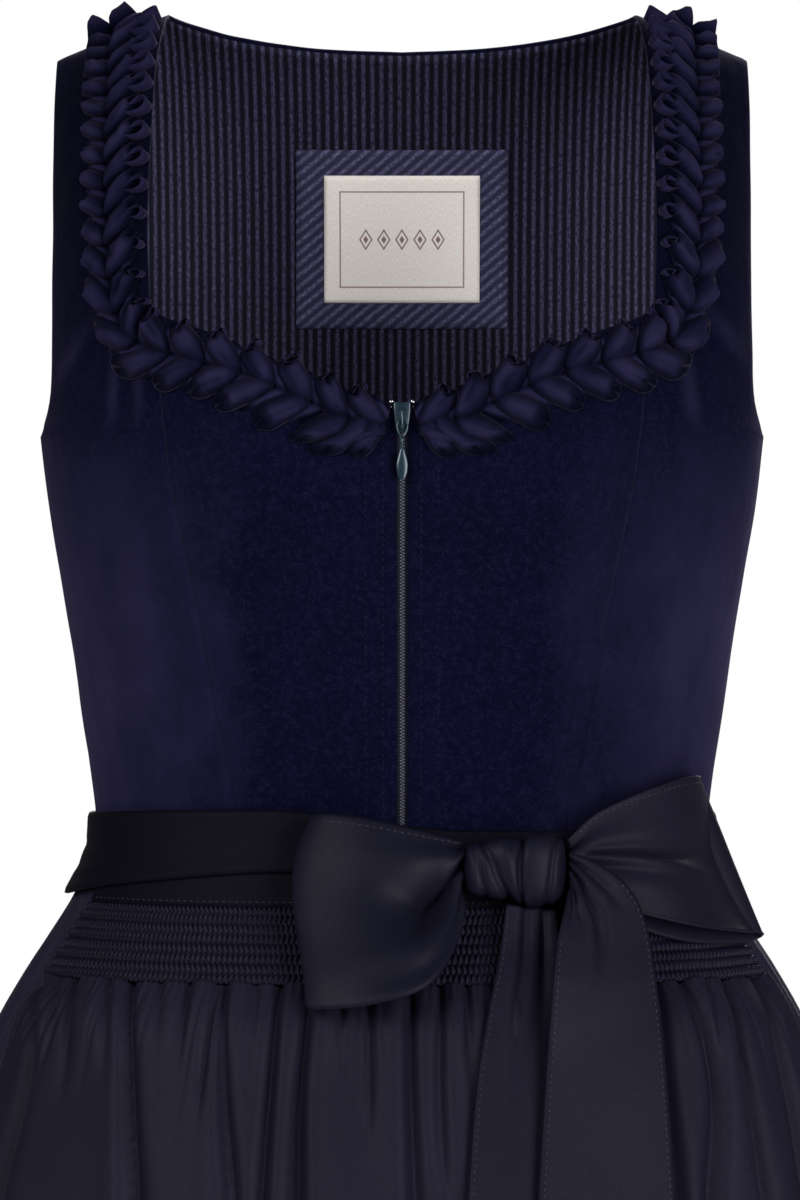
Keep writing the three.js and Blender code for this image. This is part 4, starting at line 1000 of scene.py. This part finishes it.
leftTail = table("step topX top footX foot out", [  # top is the tail's left edge and foot its right one
    (0, 45, -393.6, 66, -396.2, 10),
    (1, 42, -415, 68, -415, 5.5),
    (2, 36.5, -440, 69, -440, 3.5),
    (3, 31.5, -470, 70, -470, 2.6),
    (4, 27.5, -520, 68, -520, 2.4),
    (5, 22, -610, 70, -610, 2.4),
    (6, 14, -720, 72, -720, 2.4),
    (7, 8, -812, 74, -830, 2.4),
])
rightTail = table("step topX top footX foot out", [
    (0, 71.6, -389.5, 71.6, -371.5, 19.5),
    (1, 68, -401, 84, -376, 27),
    (2, 66, -411, 97, -386, 27),
    (3, 64.5, -423, 104.5, -400, 24),
    (4, 63, -440, 108, -420, 18),
    (5, 61, -464, 111.5, -450, 11),
    (6, 57, -520, 116, -515, 7),
    (7, 51, -620, 122, -620, 7),
    (8, 46, -740, 127, -740, 7),
    (9, 42, -866, 131, -848, 7),
])
ribbon = {"wall": 1.1, "tieOuter": 2.4}


def frontY(x, z):  # how far forward the tie band and the apron reach
    halfWidth, front, roundness = (read(hipRows, z, column) for column in ("halfWidth", "front", "round"))
    share = np.minimum(0.965, np.abs(x) / halfWidth)
    return -front * (1 - share ** roundness) ** (1 / roundness) - ribbon["tieOuter"]


def bandAt(stations, bulge, drape, belly=0):
    last = stations["step"][-1]

    def middle(a, b):  # a runs along the ribbon, b from its foot edge to its top edge
        x = mix(read(stations, a * last, "footX"), read(stations, a * last, "topX"), b)
        x = x - belly * np.exp(-((a * last - 5) / 1.6) ** 2) * np.sin(math.pi * np.clip(b, 0, 1) ** 1.6)
        z = mix(read(stations, a * last, "foot"), read(stations, a * last, "top"), b)
        out = read(stations, a * last, "out") * (1 - bulge * (2 * b - 1) ** 2)
        return np.stack([x, frontY(x, z) - out, z], -1)

    def at(a, b, off=0):
        out = -normalOf(middle, np.clip(a, 0.003, 0.997), b, 0.002, 0.01)
        return middle(a, b) + out * (drape(a, b) + off)[..., None]
    return at


def leftLoopDrape(a, b):  # the front layer is drawn together at the knot and swells towards its fold
    front = 1 - smooth(a, 0.5, 0.6)
    gathers = 3.2 * np.exp(-a / 0.12) * np.cos(2 * math.pi * (2.6 * b + 0.2)) * (0.75 + 0.25 * np.cos(9 * b + 20 * a))
    hollow = -9.5 * np.exp(-((a - 0.17) / 0.1) ** 2 - ((b - 0.47 - 0.5 * (a - 0.15)) / 0.15) ** 2)
    upper = 2.6 * np.exp(-((a - 0.16) / 0.16) ** 2 - ((b - 0.8) / 0.12) ** 2)
    lower = 2.2 * np.exp(-((a - 0.2) / 0.13) ** 2 - ((b - 0.16 - 0.25 * a) / 0.1) ** 2)
    crease = -2.8 * np.exp(-((b - 0.62 + 1.1 * a) / 0.04) ** 2) * smooth(a, 0, 0.03) * (1 - smooth(a, 0.12, 0.26))
    second = 2.6 * np.exp(-((b - 0.36 - 0.9 * a) / 0.045) ** 2) * smooth(a, 0.02, 0.06) * (1 - smooth(a, 0.14, 0.3))
    rolled = 2.4 * np.exp(-((b - 0.02) / 0.07) ** 2) * smooth(a, 0.0, 0.05) * (1 - smooth(a, 0.25, 0.42))
    slack = 1.5 * ripple(a * 9, b * 5, 83) * smooth(a, 0.05, 0.2)
    folds = gathers + hollow + upper + lower + (crease - second) + rolled + slack
    return front * folds + edgeRoll(np.minimum(b, 1 - b) * 80, 0.5)


def rightLoopDrape(a, b):
    front = 1 - smooth(a, 0.5, 0.6)
    gathers = 2.6 * np.exp(-a / 0.1) * np.cos(2 * math.pi * (2.2 * b + 0.1))
    fold = -3.8 * np.exp(-((b - 0.55 + 0.5 * a) / 0.05) ** 2) * smooth(a, 0.04, 0.12) * (1 - smooth(a, 0.2, 0.42))
    ridge = 2.2 * np.exp(-((b - 0.66 + 0.42 * a) / 0.06) ** 2) * smooth(a, 0.04, 0.12) * (1 - smooth(a, 0.24, 0.44))
    low = -2.4 * np.exp(-((a - 0.2) / 0.12) ** 2 - ((b - 0.25) / 0.14) ** 2)
    slack = 1.3 * ripple(a * 9, b * 4, 84) * smooth(a, 0.05, 0.2)
    return front * (gathers + fold + ridge + low + slack) + edgeRoll(np.minimum(b, 1 - b) * 60, 0.5)


def tailDrape(pleats, seed):
    def drape(a, b):
        gathers = 0
        for share, width, depth, ends, drift in zip(*pleats.values()):
            centre = share + drift * a
            gathers = gathers - depth * np.exp(-((b - centre) / width) ** 2) * (1 - smooth(a, ends * 0.4, ends))
        wave = 0.9 * ripple(b * 4, a * 5, seed) * smooth(a, 0.1, 0.4)
        return gathers + wave + edgeRoll(np.minimum(b, 1 - b) * 60, 0.7) + edgeRoll((1 - a) * 400, 0.8)
    return drape


leftPleats = table("share width depth ends drift", [(0.25, 0.09, 2.2, 0.35, 0.1), (0.6, 0.1, 2.6, 0.5, 0.05)])
rightPleats = table("share width depth ends drift", [
    (0.36, 0.06, 4.2, 0.46, 0.35),
    (0.58, 0.05, 2.2, 0.3, 0.25),
    (0.76, 0.08, 2.2, 0.26, 0),
    (0.16, 0.06, 2.2, 0.32, 0.1),
])
leftTailAt = bandAt(leftTail, 0, tailDrape(leftPleats, 81))
rightTailAt = bandAt(rightTail, 0, tailDrape(rightPleats, 82))
leftLoopAt = bandAt(leftLoop, 0.22, leftLoopDrape, 7.5)
rightLoopAt = bandAt(rightLoop, 0.22, rightLoopDrape)
# the left loop takes the lighter copy as painted light
for name, at, columns, rows, material, flat in (
    ("bow_loop_right", leftLoopAt, 150, 48, bowSatin, (0.16, 0.08)),
    ("bow_loop_left", rightLoopAt, 150, 48, tailSatin, (0.17, 0.07)),
    ("bow_tail_right", leftTailAt, 130, 36, tailSatin, (0.058, 0.44)),
    ("bow_tail_left", rightTailAt, 150, 40, tailSatin, (0.078, 0.5)),
):
    piece = clothPiece(name, at, columns, rows, ribbon["wall"], material, offset=0)

knot = table("x z high deep", [
    (26.7, -377.5, 8, 6),
    (31, -377.8, 11.5, 9.5),
    (41, -378.5, 13, 11),
    (51.5, -379, 13.5, 11),
    (54.5, -379, 15.4, 12.2),
    (61, -379, 15.8, 12.6),
    (67.5, -378.5, 14, 11),
    (70.8, -377.8, 9, 6),
])
knotShape = {"out": 14, "fromX": 26.7, "toX": 70.8}
knotFolds = table("middle lean depth width", [
    (40, -6, 2.0, 1.8),
    (33, -3, 1.2, 1.6),
    (47, -5, -1.2, 3.0),
    (64, 2.4, 1.0, 1.3),
])


def knotAt(u, v):
    x = mix(knotShape["fromX"], knotShape["toX"], u)
    z, high, deep = (read(knot, x, column) for column in ("z", "high", "deep"))
    angle = -2 * math.pi * v
    closed = np.clip(np.minimum(u, 1 - u) / 0.03, 0, 1) ** 0.5
    face = -np.cos(angle)  # 1 at the front
    lift = -2.2 * np.exp(-((x - 52.6 + 2.2 * face) / 1.0) ** 2)  # the wrap's edge
    for middle, lean, depth, wide in zip(*knotFolds.values()):
        lift = lift - depth * np.exp(-((x - middle - lean * np.sin(angle)) / wide) ** 2)
    lift = lift + 0.5 * ripple(x / 5, angle * 1.4, 86)
    grown = 1 + lift / 12
    y = frontY(x, z) - knotShape["out"] + deep * closed * grown * power(np.cos(angle), 0.62)
    return np.stack([x, y, z + high * closed * grown * power(np.sin(angle), 0.8)], -1)


knotPiece = clothPiece("bow_knot", knotAt, 90, 64, 0, bowSatin, ring=True)
print("bow made")


# topstitching on the ribbon, the bands and the placket
def bandLine(at, a0, a1, b, face):
    def line(share, out):
        return at(mix(a0, a1, share), b + 0 * share, face * (ribbon["wall"] / 2 + 0.05 + out))
    return line


def hipLine(surface, u0, u1, v, lift):
    def line(share, out):
        u = mix(u0, u1, share)
        point = surface(u, v + 0 * u)
        turn = mix(-180, 180, u) if surface is tieAt else apronTurn(u)
        return point + normalOf(onHip, turn, point[:, 2], 0.4, 1) * (lift + out)
    return line


# each run: the ribbon, where it starts and ends, its share of the width, and the face that it is sewn on
ribbonRuns = [
    bandLine(leftLoopAt, 0.02, 0.46, 0.955, 1),
    bandLine(rightLoopAt, 0.02, 0.46, 0.955, -1),
    bandLine(leftTailAt, 0.03, 0.99, 0.95, 1),
    bandLine(rightTailAt, 0.2, 0.99, 0.04, 1),
    bandLine(rightTailAt, 0.2, 0.99, 0.96, 1),
    bandLine(leftTailAt, 0.1, 0.99, 0.05, 1),
]
stitchesOn("ribbonStitches", ribbonRuns, 3.0, 2.0, 0.2)
stitchesOn("bandStitches", [
    hipLine(tieAt, 0.0, 1.0, 0.07, 0.05),
    hipLine(tieAt, 0.0, 1.0, 0.93, 0.05),
    hipLine(waistbandAt, 0.01, 0.99, 0.075, 0.05),
], 3.0, 2.0, 0.19)
print("stitches made")

# the ruched velvet trim: hearts of folded ribbon, pinched along the middle
trimPath = table("x climb", [
    (126, 0.985),
    (126, 0.85),
    (126.5, 0.65),
    (126.5, 0.45),
    (126, 0.3),
    (124.5, 0.2),
    (118, 0.131),
    (105, 0.103),
    (88, 0.087),
    (68, 0.068),
    (48, 0.045),
    (28, 0.019),
    (6, 0.006),
])
# pairs are the value on the strap and the value along the neckline
trim = {
    "wall": 0.8, "baseHalf": 9.5, "bend": (112, 168), "pitch": (12.0, 16.6), "apexShift": (2.2, 0.8),
    "plump": 1.12, "turnsDown": 20, "standsUp": 14, "standsHigh": 1.6, "standsWide": 1.15,
    "tuckedBehind": (4.5, 6.5),
    "loopBehind": (8.6, 14), "loopLong": (4.9, 3.4), "loopWide": (4.2, 2.4), "loopHigh": (7.4, 4.8),
    "loopAcross": (-13.2, -12.6), "loopTurned": (-0.15, 0.7),
}
# each arm of a heart: length, half width, height, and the directions in which it starts and ends
trimArms = {
    "outer": {"long": (18.8, 25.5), "wide": (4.6, 5.9), "high": (7.0, 7.4), "from": (46, 26), "to": (72, 48)},
    "inner": {"long": (24.5, 24), "wide": (5.0, 5.9), "high": (7.4, 7.4), "from": (30, 26), "to": (64, 46)},
}
trimEnd = table("fromEnd start end long wide", [(5.8, 82, 88, 33, 5.8), (9.5, 64, 74, 36, 6.4)])


def trimSurface(side):
    steps = np.arange(len(trimPath["x"]), dtype=float)
    rows = {"step": steps, "turn": bodiceTurn(trimPath["x"], trimPath["climb"]), "climb": trimPath["climb"]}
    fine = np.linspace(0, steps[-1], 500)
    turn, climb = read(rows, fine, "turn"), read(rows, fine, "climb")
    walked = walkedAlong(onBodice(turn, climb))
    path = {"length": walked, "turn": side * turn, "climb": climb}

    def at(length, across, lift):  # across is outwards from the neck edge
        length = np.clip(length, 0.6, walked[-1] - 0.6)
        turn, climb = read(path, length, "turn"), read(path, length, "climb")
        ends = [onBodice(read(path, length + s, "turn"), read(path, length + s, "climb")) for s in (0.5, -0.5)]
        ahead = unit(ends[0] - ends[1])
        byTurn = (onBodice(turn + 0.2, climb) - onBodice(turn - 0.2, climb)) / 0.4
        byClimb = (onBodice(turn, climb + 0.002) - onBodice(turn, climb - 0.002)) / 0.004
        normal = unit(np.cross(byTurn, byClimb))
        aside = np.cross(normal, ahead) * (side * across)[..., None]
        tt, tc, cc = ((p * q).sum(-1) for p, q in ((byTurn, byTurn), (byTurn, byClimb), (byClimb, byClimb)))
        ta, ca = (byTurn * aside).sum(-1), (byClimb * aside).sum(-1)
        under = tt * cc - tc * tc
        return bodiceAt(turn + (ta * cc - ca * tc) / under, climb + (ca * tt - ta * tc) / under, lift)
    return at, walked[-1]


def foldedArm(bm, at, apex, sign, size):
    # one arm of a heart: pinched where it starts, then a plump fold that bends outwards to a blunt, hollow end
    made = bmesh.ops.create_uvsphere(bm, u_segments=20, v_segments=22, radius=1)["verts"]
    ball = np.array([v.co[:] for v in made])
    q = -ball[:, 2]
    t = (q + 1) / 2
    ringSize = np.sqrt(np.clip(1 - q * q, 1e-6, 1))
    aside, up = ball[:, 0] / ringSize, ball[:, 1] / ringSize
    full = (1 - np.abs(q) ** np.where(q < 0, 7, 3.4)) ** (1 / 2.2)
    grown = smooth(t, -0.1, 0.42)
    wide = size["wide"] * (0.55 + 0.45 * grown) * full
    high = size["high"] * (0.66 + 0.34 * grown) * full ** 0.7 * (1 - 0.15 * smooth(t, 0.7, 1))
    uneven = 1 + 0.3 * ripple(aside * 2.2, t * 6, size["seed"]) + 0.14 * ripple(aside * 4, t * 13, size["seed"] + 1)
    rise = np.clip(up, 0, 1) ** 1.3 * (0.9 + 0.3 * aside) * uneven
    walked = size["long"] * (t - size["mouth"] * smooth(t, 0.93, 1) - 0.2 * rise * smooth(t, 0.6, 0.95))
    start, end = math.radians(size["from"]), math.radians(size["to"])
    bend = (end - start) / size["long"]
    angle = start + bend * walked
    across = (math.cos(start) - np.cos(angle)) / bend + np.cos(angle) * aside * wide
    length = apex - (np.sin(angle) - math.sin(start)) / bend + np.sin(angle) * aside * wide
    furrow = 0.35 * math.sin(size["seed"]) + 0.3 * (t - 0.5)
    crease = size["crease"] * np.exp(-((aside - furrow) / 0.16) ** 2) * smooth(t, 0.12, 0.4)
    lift = size["base"] + rise * (high - crease) - 0.5 * np.clip(-up, 0, 1) * full
    points = at(length, sign * across + size["shift"], np.maximum(lift, 0.35)) * mm
    # the hollow end is painted dark as painted shade; low parts get painted shade and the top painted sheen through
    # the crest value
    paintedHollowShade = 1 - 7 * size["mouth"] * smooth(t, 0.9, 0.99)
    crest = np.clip(lift / (size["base"] + size["high"]), 0, 1) ** 1.7 * paintedHollowShade
    for vert, point, height in zip(made, points, crest):
        vert.co = point
        vert[bm.verts.layers.float["crest"]] = height


def foldedLoop(bm, at, length, across, size, turned):
    # the ribbon's edge stands up at the end of an arm and shows as a small drop-shaped loop
    made = bmesh.ops.create_cone(bm, cap_ends=False, segments=22, radius1=1, radius2=1, depth=2)["verts"]
    ball = np.array([v.co[:] for v in made])
    around = np.arctan2(ball[:, 1], ball[:, 0])
    out = 0.5 - 0.5 * np.cos(around)  # 0 at the loop's pinched end
    x = size[0] * (np.cos(around) * -1)
    y = size[1] * np.sin(around) * out ** 0.6
    c, s = math.cos(turned), math.sin(turned)
    lift = np.where(ball[:, 2] > 0, size[2] * (0.8 + 0.2 * out), 1.0)
    for vert, point in zip(made, at(length + s * x + c * y, across - c * x + s * y, lift) * mm):
        vert.co = point
        # the loops are painted light as painted sheen
        vert[bm.verts.layers.float["crest"]] = 0.8
    faces = list({face for vert in made for face in vert.link_faces})
    bmesh.ops.solidify(bm, geom=faces, thickness=0.7 * mm)


def neckTrim(side, name):
    at, total = trimSurface(side)
    random = np.random.default_rng(90 + side)
    bm = bmesh.new()
    bm.verts.layers.float.new("crest")
    made = bmesh.ops.create_grid(bm, x_segments=160, y_segments=10, size=0.5)["verts"]
    flat = np.array([v.co[:2] for v in made])
    length = (flat[:, 0] + 0.5) * total
    across = flat[:, 1] * 2 * trim["baseHalf"] * (1 + 0.05 * np.sin(length * 0.9))
    lift = 1.1 + 0.3 * np.sin(length / 2.1) * np.cos(across / 5)
    for vert, point in zip(made, at(length, across, lift) * mm):
        vert.co = point
    bmesh.ops.solidify(bm, geom=bm.faces[:], thickness=trim["wall"] * mm)
    apex, apexes = total - 1.5, []
    while apex > 5:
        low = float(smooth(np.array(apex), *trim["bend"]))
        apexes.append((apex, low))
        apex -= mix(*trim["pitch"], low) * random.uniform(0.95, 1.05)
    for apex, low in apexes:
        shift = mix(*trim["apexShift"], low) + random.uniform(-0.4, 0.4)
        plump = trim["plump"] if side > 0 and low > 0.5 else 1
        for sign, arm in ((1, "outer"), (-1, "inner")):
            size = {key: mix(*value, low) * random.uniform(0.94, 1.07) for key, value in trimArms[arm].items()}
            size["wide"] *= plump
            if sign > 0:  # towards the zip the trim turns down and widens
                turned = trim["turnsDown"] * float(smooth(np.array(apex), total - 55, total - 10))
                size["from"] += turned
                size["to"] += turned
            doubled = mix(1.5, 2.9 if sign < 0 else 1.9, low)  # the long arms of the neckline are folded twice
            size.update(shift=shift, base=0.9, crease=random.uniform(0.5, 1) * doubled, seed=random.integers(999),
                        mouth=0.1 if sign < 0 else 0)
            if apex < trim["standsUp"]:  # the first heart stands up over the shoulder
                size["high"] *= trim["standsHigh"]
                size["wide"] *= trim["standsWide"]
            size["long"] = min(size["long"], apex + 6)
            foldedArm(bm, at, apex, sign, size)
            tucked = {key: mix(*value, low) for key, value in trimArms[arm].items()}
            tucked.update(long=size["long"] * 0.78, wide=size["wide"] * 0.5, high=size["high"] * 0.28, crease=0,
                          shift=shift, base=0.7, to=tucked["to"] + 10, seed=0, mouth=0)
            foldedArm(bm, at, apex + mix(*trim["tuckedBehind"], low), sign, tucked)
        loopAt = apex - mix(*trim["loopBehind"], low)
        if loopAt > 5:
            loopWide = mix(*trim["loopWide"], low) * random.uniform(0.85, 1.15)
            loopSize = (mix(*trim["loopLong"], low), loopWide, mix(*trim["loopHigh"], low))
            turned = mix(*trim["loopTurned"], low) + random.uniform(-0.2, 0.2)
            foldedLoop(bm, at, loopAt, mix(*trim["loopAcross"], low), loopSize, turned)
    for fromEnd, start, end, long, wide in zip(*trimEnd.values()):  # the last folds beside the zip, turned down
        size = {
            "long": long, "wide": wide, "high": 6.6, "from": start, "to": end, "crease": 1.6,
            "shift": -2, "base": 0.9, "seed": int(long) + side, "mouth": 0.03,
        }
        foldedArm(bm, at, total - fromEnd, 1, size)
    bmesh.ops.recalc_face_normals(bm, faces=bm.faces[:])
    piece = finish(name, bm, ruffleVelvet)
    return total


for side, word in ((1, "left"), (-1, "right")):
    length = neckTrim(side, "neck_ruffle_" + word)
print("trim made, %.0f mm a side" % length)

# the zip: tape, coil, slider and pull
zipSizes = {
    "tapeHalf": 11, "tapeLift": -2.1, "tooth": 1.4, "sliderZ": -184.4, "pivotZ": -186.5, "pivotOut": 1.15,
    "off": 0.4, "thick": 2.6, "stopX": 4.6, "stopZ": -177.8,
}
zipTop = float(climbOf(np.array(0.0), read(sweetheart, np.array(zipHalf), "z"), frontArch))


def tapeAt(u, v):
    climb = mix(-1, zipTop, v)
    x = mix(-zipSizes["tapeHalf"], zipSizes["tapeHalf"], u)
    edge = np.minimum(u, 1 - u) * 2 * zipSizes["tapeHalf"]
    lift = zipSizes["tapeLift"] + 0.15 * np.cos(x * 2) + edgeRoll(edge, 0.3)
    return bodiceAt(bodiceTurn(x, climb), climb, lift)


tapePiece = clothPiece("zip_tape", tapeAt, 24, 80, 0.7, tapeCloth)


def zipCoil():
    bm = bmesh.new()
    climb = np.linspace(-1, zipTop, 900)
    line = bodiceAt(0 * climb, climb, 0.1 + 0 * climb)
    walked = walkedAlong(line)
    count = int((walked[-1] - 12) / (zipSizes["tooth"] / 2))
    for k in range(count):  # each turn of the two coils shows as a short slanting loop
        spot = [np.interp(k * zipSizes["tooth"] / 2 + 0.6, walked, line[:, axis]) for axis in range(3)]
        side = 1 if k % 2 else -1
        slant = Matrix.Rotation(side * math.radians(24), 4, "Y")
        place = Matrix.Translation((side * 0.52 * mm, spot[1] * mm, spot[2] * mm)) @ slant
        place = place @ Matrix.Diagonal((0.85 * mm, 0.5 * mm, 0.33 * mm, 1))
        bmesh.ops.create_icosphere(bm, subdivisions=1, radius=1, matrix=place)
    finish("zip_coil", bm, nylon)


zipCoil()
zipFrontY = float(bodiceAt(np.array(0.0), climbOf(np.array(0.0), np.array(zipSizes["sliderZ"]), frontArch), 0)[1])
sliderFace = zipFrontY - zipSizes["off"] - zipSizes["thick"]


def prism(bm, outline, y0, y1, bevelBy, segments=3):  # an outline in x and z, given thickness along Y and rounded
    verts = [bm.verts.new((x * mm, y0 * mm, z * mm)) for x, z in outline]
    face = bm.faces.new(verts)
    made = bmesh.ops.extrude_face_region(bm, geom=[face])["geom"]
    moved = [g for g in made if isinstance(g, bmesh.types.BMVert)]
    bmesh.ops.translate(bm, verts=moved, vec=(0, (y1 - y0) * mm, 0))
    edges = list({edge for vert in verts + moved for edge in vert.link_edges})
    bmesh.ops.bevel(bm, geom=edges, offset=bevelBy * mm, offset_type="OFFSET", affect="EDGES",
                    segments=segments, profile=0.5, material=-1)


def tube(bm, points, radius, sides=10):  # a round wire along points in the plane y = constant
    ring = None
    points = [Vector(p) for p in points]
    for i, point in enumerate(points):
        ahead = (points[min(i + 1, len(points) - 1)] - points[max(i - 1, 0)]).normalized()
        turn = ahead.to_track_quat("Z", "Y").to_matrix().to_4x4()
        made = bmesh.ops.create_circle(bm, cap_ends=i in (0, len(points) - 1), segments=sides, radius=radius * mm,
                                       matrix=Matrix.Translation(point * mm) @ turn)["verts"]
        edges = list({edge for vert in made for edge in vert.link_edges if edge.other_vert(vert) in made})
        if ring:
            bmesh.ops.bridge_loops(bm, edges=ring + edges)
        ring = edges


def zipSlider():
    bm = bmesh.new()
    z = zipSizes["sliderZ"]
    outline = [
        (-3.6, z + 6.8), (-3.7, z + 3), (-3.1, z - 2), (-2.6, z - 6.6), (2.6, z - 6.6),
        (3.1, z - 2), (3.7, z + 3), (3.6, z + 6.8), (1.2, z + 5.9), (-1.2, z + 5.9),
    ]
    prism(bm, outline, sliderFace, sliderFace + zipSizes["thick"], 0.6)
    top, foot, reach = -181.6, -189.4, 3.2
    y = sliderFace
    arch = [
        (0, y + 0.4, top + 1.6), (0, y - reach * 0.6, top + 1.2), (0, y - reach + 0.35, top - 0.9),
        (0, y - reach + 0.3, (top + foot) / 2), (0, y - reach + 0.35, foot + 0.9),
        (0, y - reach * 0.6, foot - 0.1), (0, y + 0.4, foot - 0.3),
    ]
    tube(bm, arch, 0.62)
    bmesh.ops.recalc_face_normals(bm, faces=bm.faces[:])
    finish("zip_slider", bm, lacquer)


def zipPull():
    bm = bmesh.new()
    y, z = sliderFace - zipSizes["pivotOut"], zipSizes["pivotZ"]
    loop = [(0, 0.05), (-1.5, 0), (-2.1, -1.0), (-2.25, -2.4), (-1.95, -3.8), (-1.3, -5.2), (-0.6, -6.2), (0, -6.6)]
    wire = [(x, y, z + dz) for x, dz in loop]
    for mirror in (1, -1):
        tube(bm, [(mirror * x, py, pz) for x, py, pz in wire], 0.5)
    dropTop, foot, halfWide, halfThick = -197.2, -211.6, 2.6, 0.72
    tube(bm, [(0, y, z - 6), (0, y, z - 8), (0, y, dropTop - 0.8)], 0.66)
    made = bmesh.ops.create_uvsphere(bm, u_segments=28, v_segments=24, radius=1)["verts"]
    for vert in made:  # a long leaf, fuller towards its foot
        share = (1 - vert.co.z) / 2
        slim = 0.62 + 0.38 * float(smooth(np.array(share), 0, 0.62))
        leaf = Vector((vert.co.x * halfWide * slim, y + vert.co.y * halfThick, mix(dropTop, foot, share)))
        vert.co = leaf * mm
    bmesh.ops.recalc_face_normals(bm, faces=bm.faces[:])
    finish("zip_pull", bm, lacquer, body="zip_pull")


def zipStops():
    bm = bmesh.new()
    for side in (1, -1):
        for dz, size in ((0, 0.75), (-2.1, 0.6)):
            x = side * (zipSizes["stopX"] - dz * 0.1)
            spot = Matrix.Translation((x * mm, (zipFrontY + 0.3) * mm, (zipSizes["stopZ"] + dz) * mm))
            slant = Matrix.Rotation(side * 0.5, 4, "Y")
            place = spot @ slant @ Matrix.Diagonal((size * 1.4 * mm, 0.6 * mm, size * mm, 1))
            bmesh.ops.create_icosphere(bm, subdivisions=3, radius=1, matrix=place)
    finish("zip_stops", bm, nickel)


zipSlider()
zipPull()
zipStops()
print("zip made")

# placket topstitching beside the zip, and the patch's sewing
placket = {"rows": (8.2, 15.6), "foot": -370, "lift": 0.03}


def bodiceLine(x0, z0, x1, z1):
    def line(share, out):
        x, z = mix(x0, x1, share), mix(z0, z1, share)
        climb = climbOf(x, z, frontArch)
        return bodiceAt(bodiceTurn(x, climb), climb, placket["lift"] + out + 0 * share)
    return line


def patchLine(x0, v0, x1, v1):
    def line(share, out):
        turn, climb = patchPlace(mix(x0, x1, share), mix(v0, v1, share), patch)
        return bodiceAt(turn, climb, patch["sewnLift"] - out)
    return line


stitchesOn("placketStitches", [
    bodiceLine(side * x, underarmZ, side * x, placket["foot"]) for side in (1, -1) for x in placket["rows"]
], 3.2, 1.9, 0.1, tapeCloth)
sewnX, sewnFoot, sewnTop = patch["sewnHalf"], 0.03, 0.97
stitchesOn("patchStitches", [
    patchLine(-sewnX, sewnFoot, sewnX, sewnFoot),
    patchLine(-sewnX, sewnTop, sewnX, sewnTop),
    patchLine(-sewnX, sewnFoot, -sewnX, sewnTop),
    patchLine(sewnX, sewnFoot, sewnX, sewnTop),
], 2.6, 1.7, 0.17)

# stage: pale floor, white surround, soft lights
stage = {"floorZ": -1.42, "floorRadius": 2.2, "room": 0.16}


def makeStage():
    bm = bmesh.new()
    bmesh.ops.create_circle(bm, cap_ends=True, segments=96, radius=stage["floorRadius"])
    bmesh.ops.translate(bm, verts=bm.verts, vec=(0, 0, stage["floorZ"]))
    mesh = bpy.data.meshes.new("floor")
    bm.to_mesh(mesh)
    bm.free()
    mesh.materials.append(plainMaterial("paleFloor", "e6e5e3", "eae9e7", 20, {"Roughness": 0.8}))
    floor = bpy.data.objects.new("floor", mesh)
    bpy.context.scene.collection.objects.link(floor)
    world = bpy.data.worlds.new("studio")
    world.use_nodes = True
    background = world.node_tree.nodes["Background"]
    background.inputs["Color"].default_value = (1, 1, 1, 1)
    seen = addNode(world.node_tree, "LightPath", output="Is Camera Ray")  # the paper is white, the room dim
    strength = addNode(world.node_tree, "MapRange", {0: seen, 3: stage["room"]})
    world.node_tree.links.new(strength, background.inputs["Strength"])
    bpy.context.scene.world = world
    bpy.context.scene.view_settings.view_transform = "Standard"


def areaLight(name, place, target, size, watts):
    data = bpy.data.lights.new(name, "AREA")
    data.shape = "RECTANGLE"
    data.size, data.size_y = size
    data.energy = watts
    light = bpy.data.objects.new(name, data)
    light.location = place
    light.rotation_euler = (Vector(target) - Vector(place)).to_track_quat("-Z", "Y").to_euler()
    bpy.context.scene.collection.objects.link(light)


makeStage()
areaLight("keyLight", (-1.9, -2.3, 0.8), (0, 0, -0.35), (1.6, 1.6), 75)
areaLight("fillLight", (1.7, -2.3, -0.3), (0, 0, -0.4), (1.6, 2.2), 92)
areaLight("backLight", (0.5, 2.6, 1.0), (0, 0, -0.35), (2.0, 1.6), 100)
print("stage set")
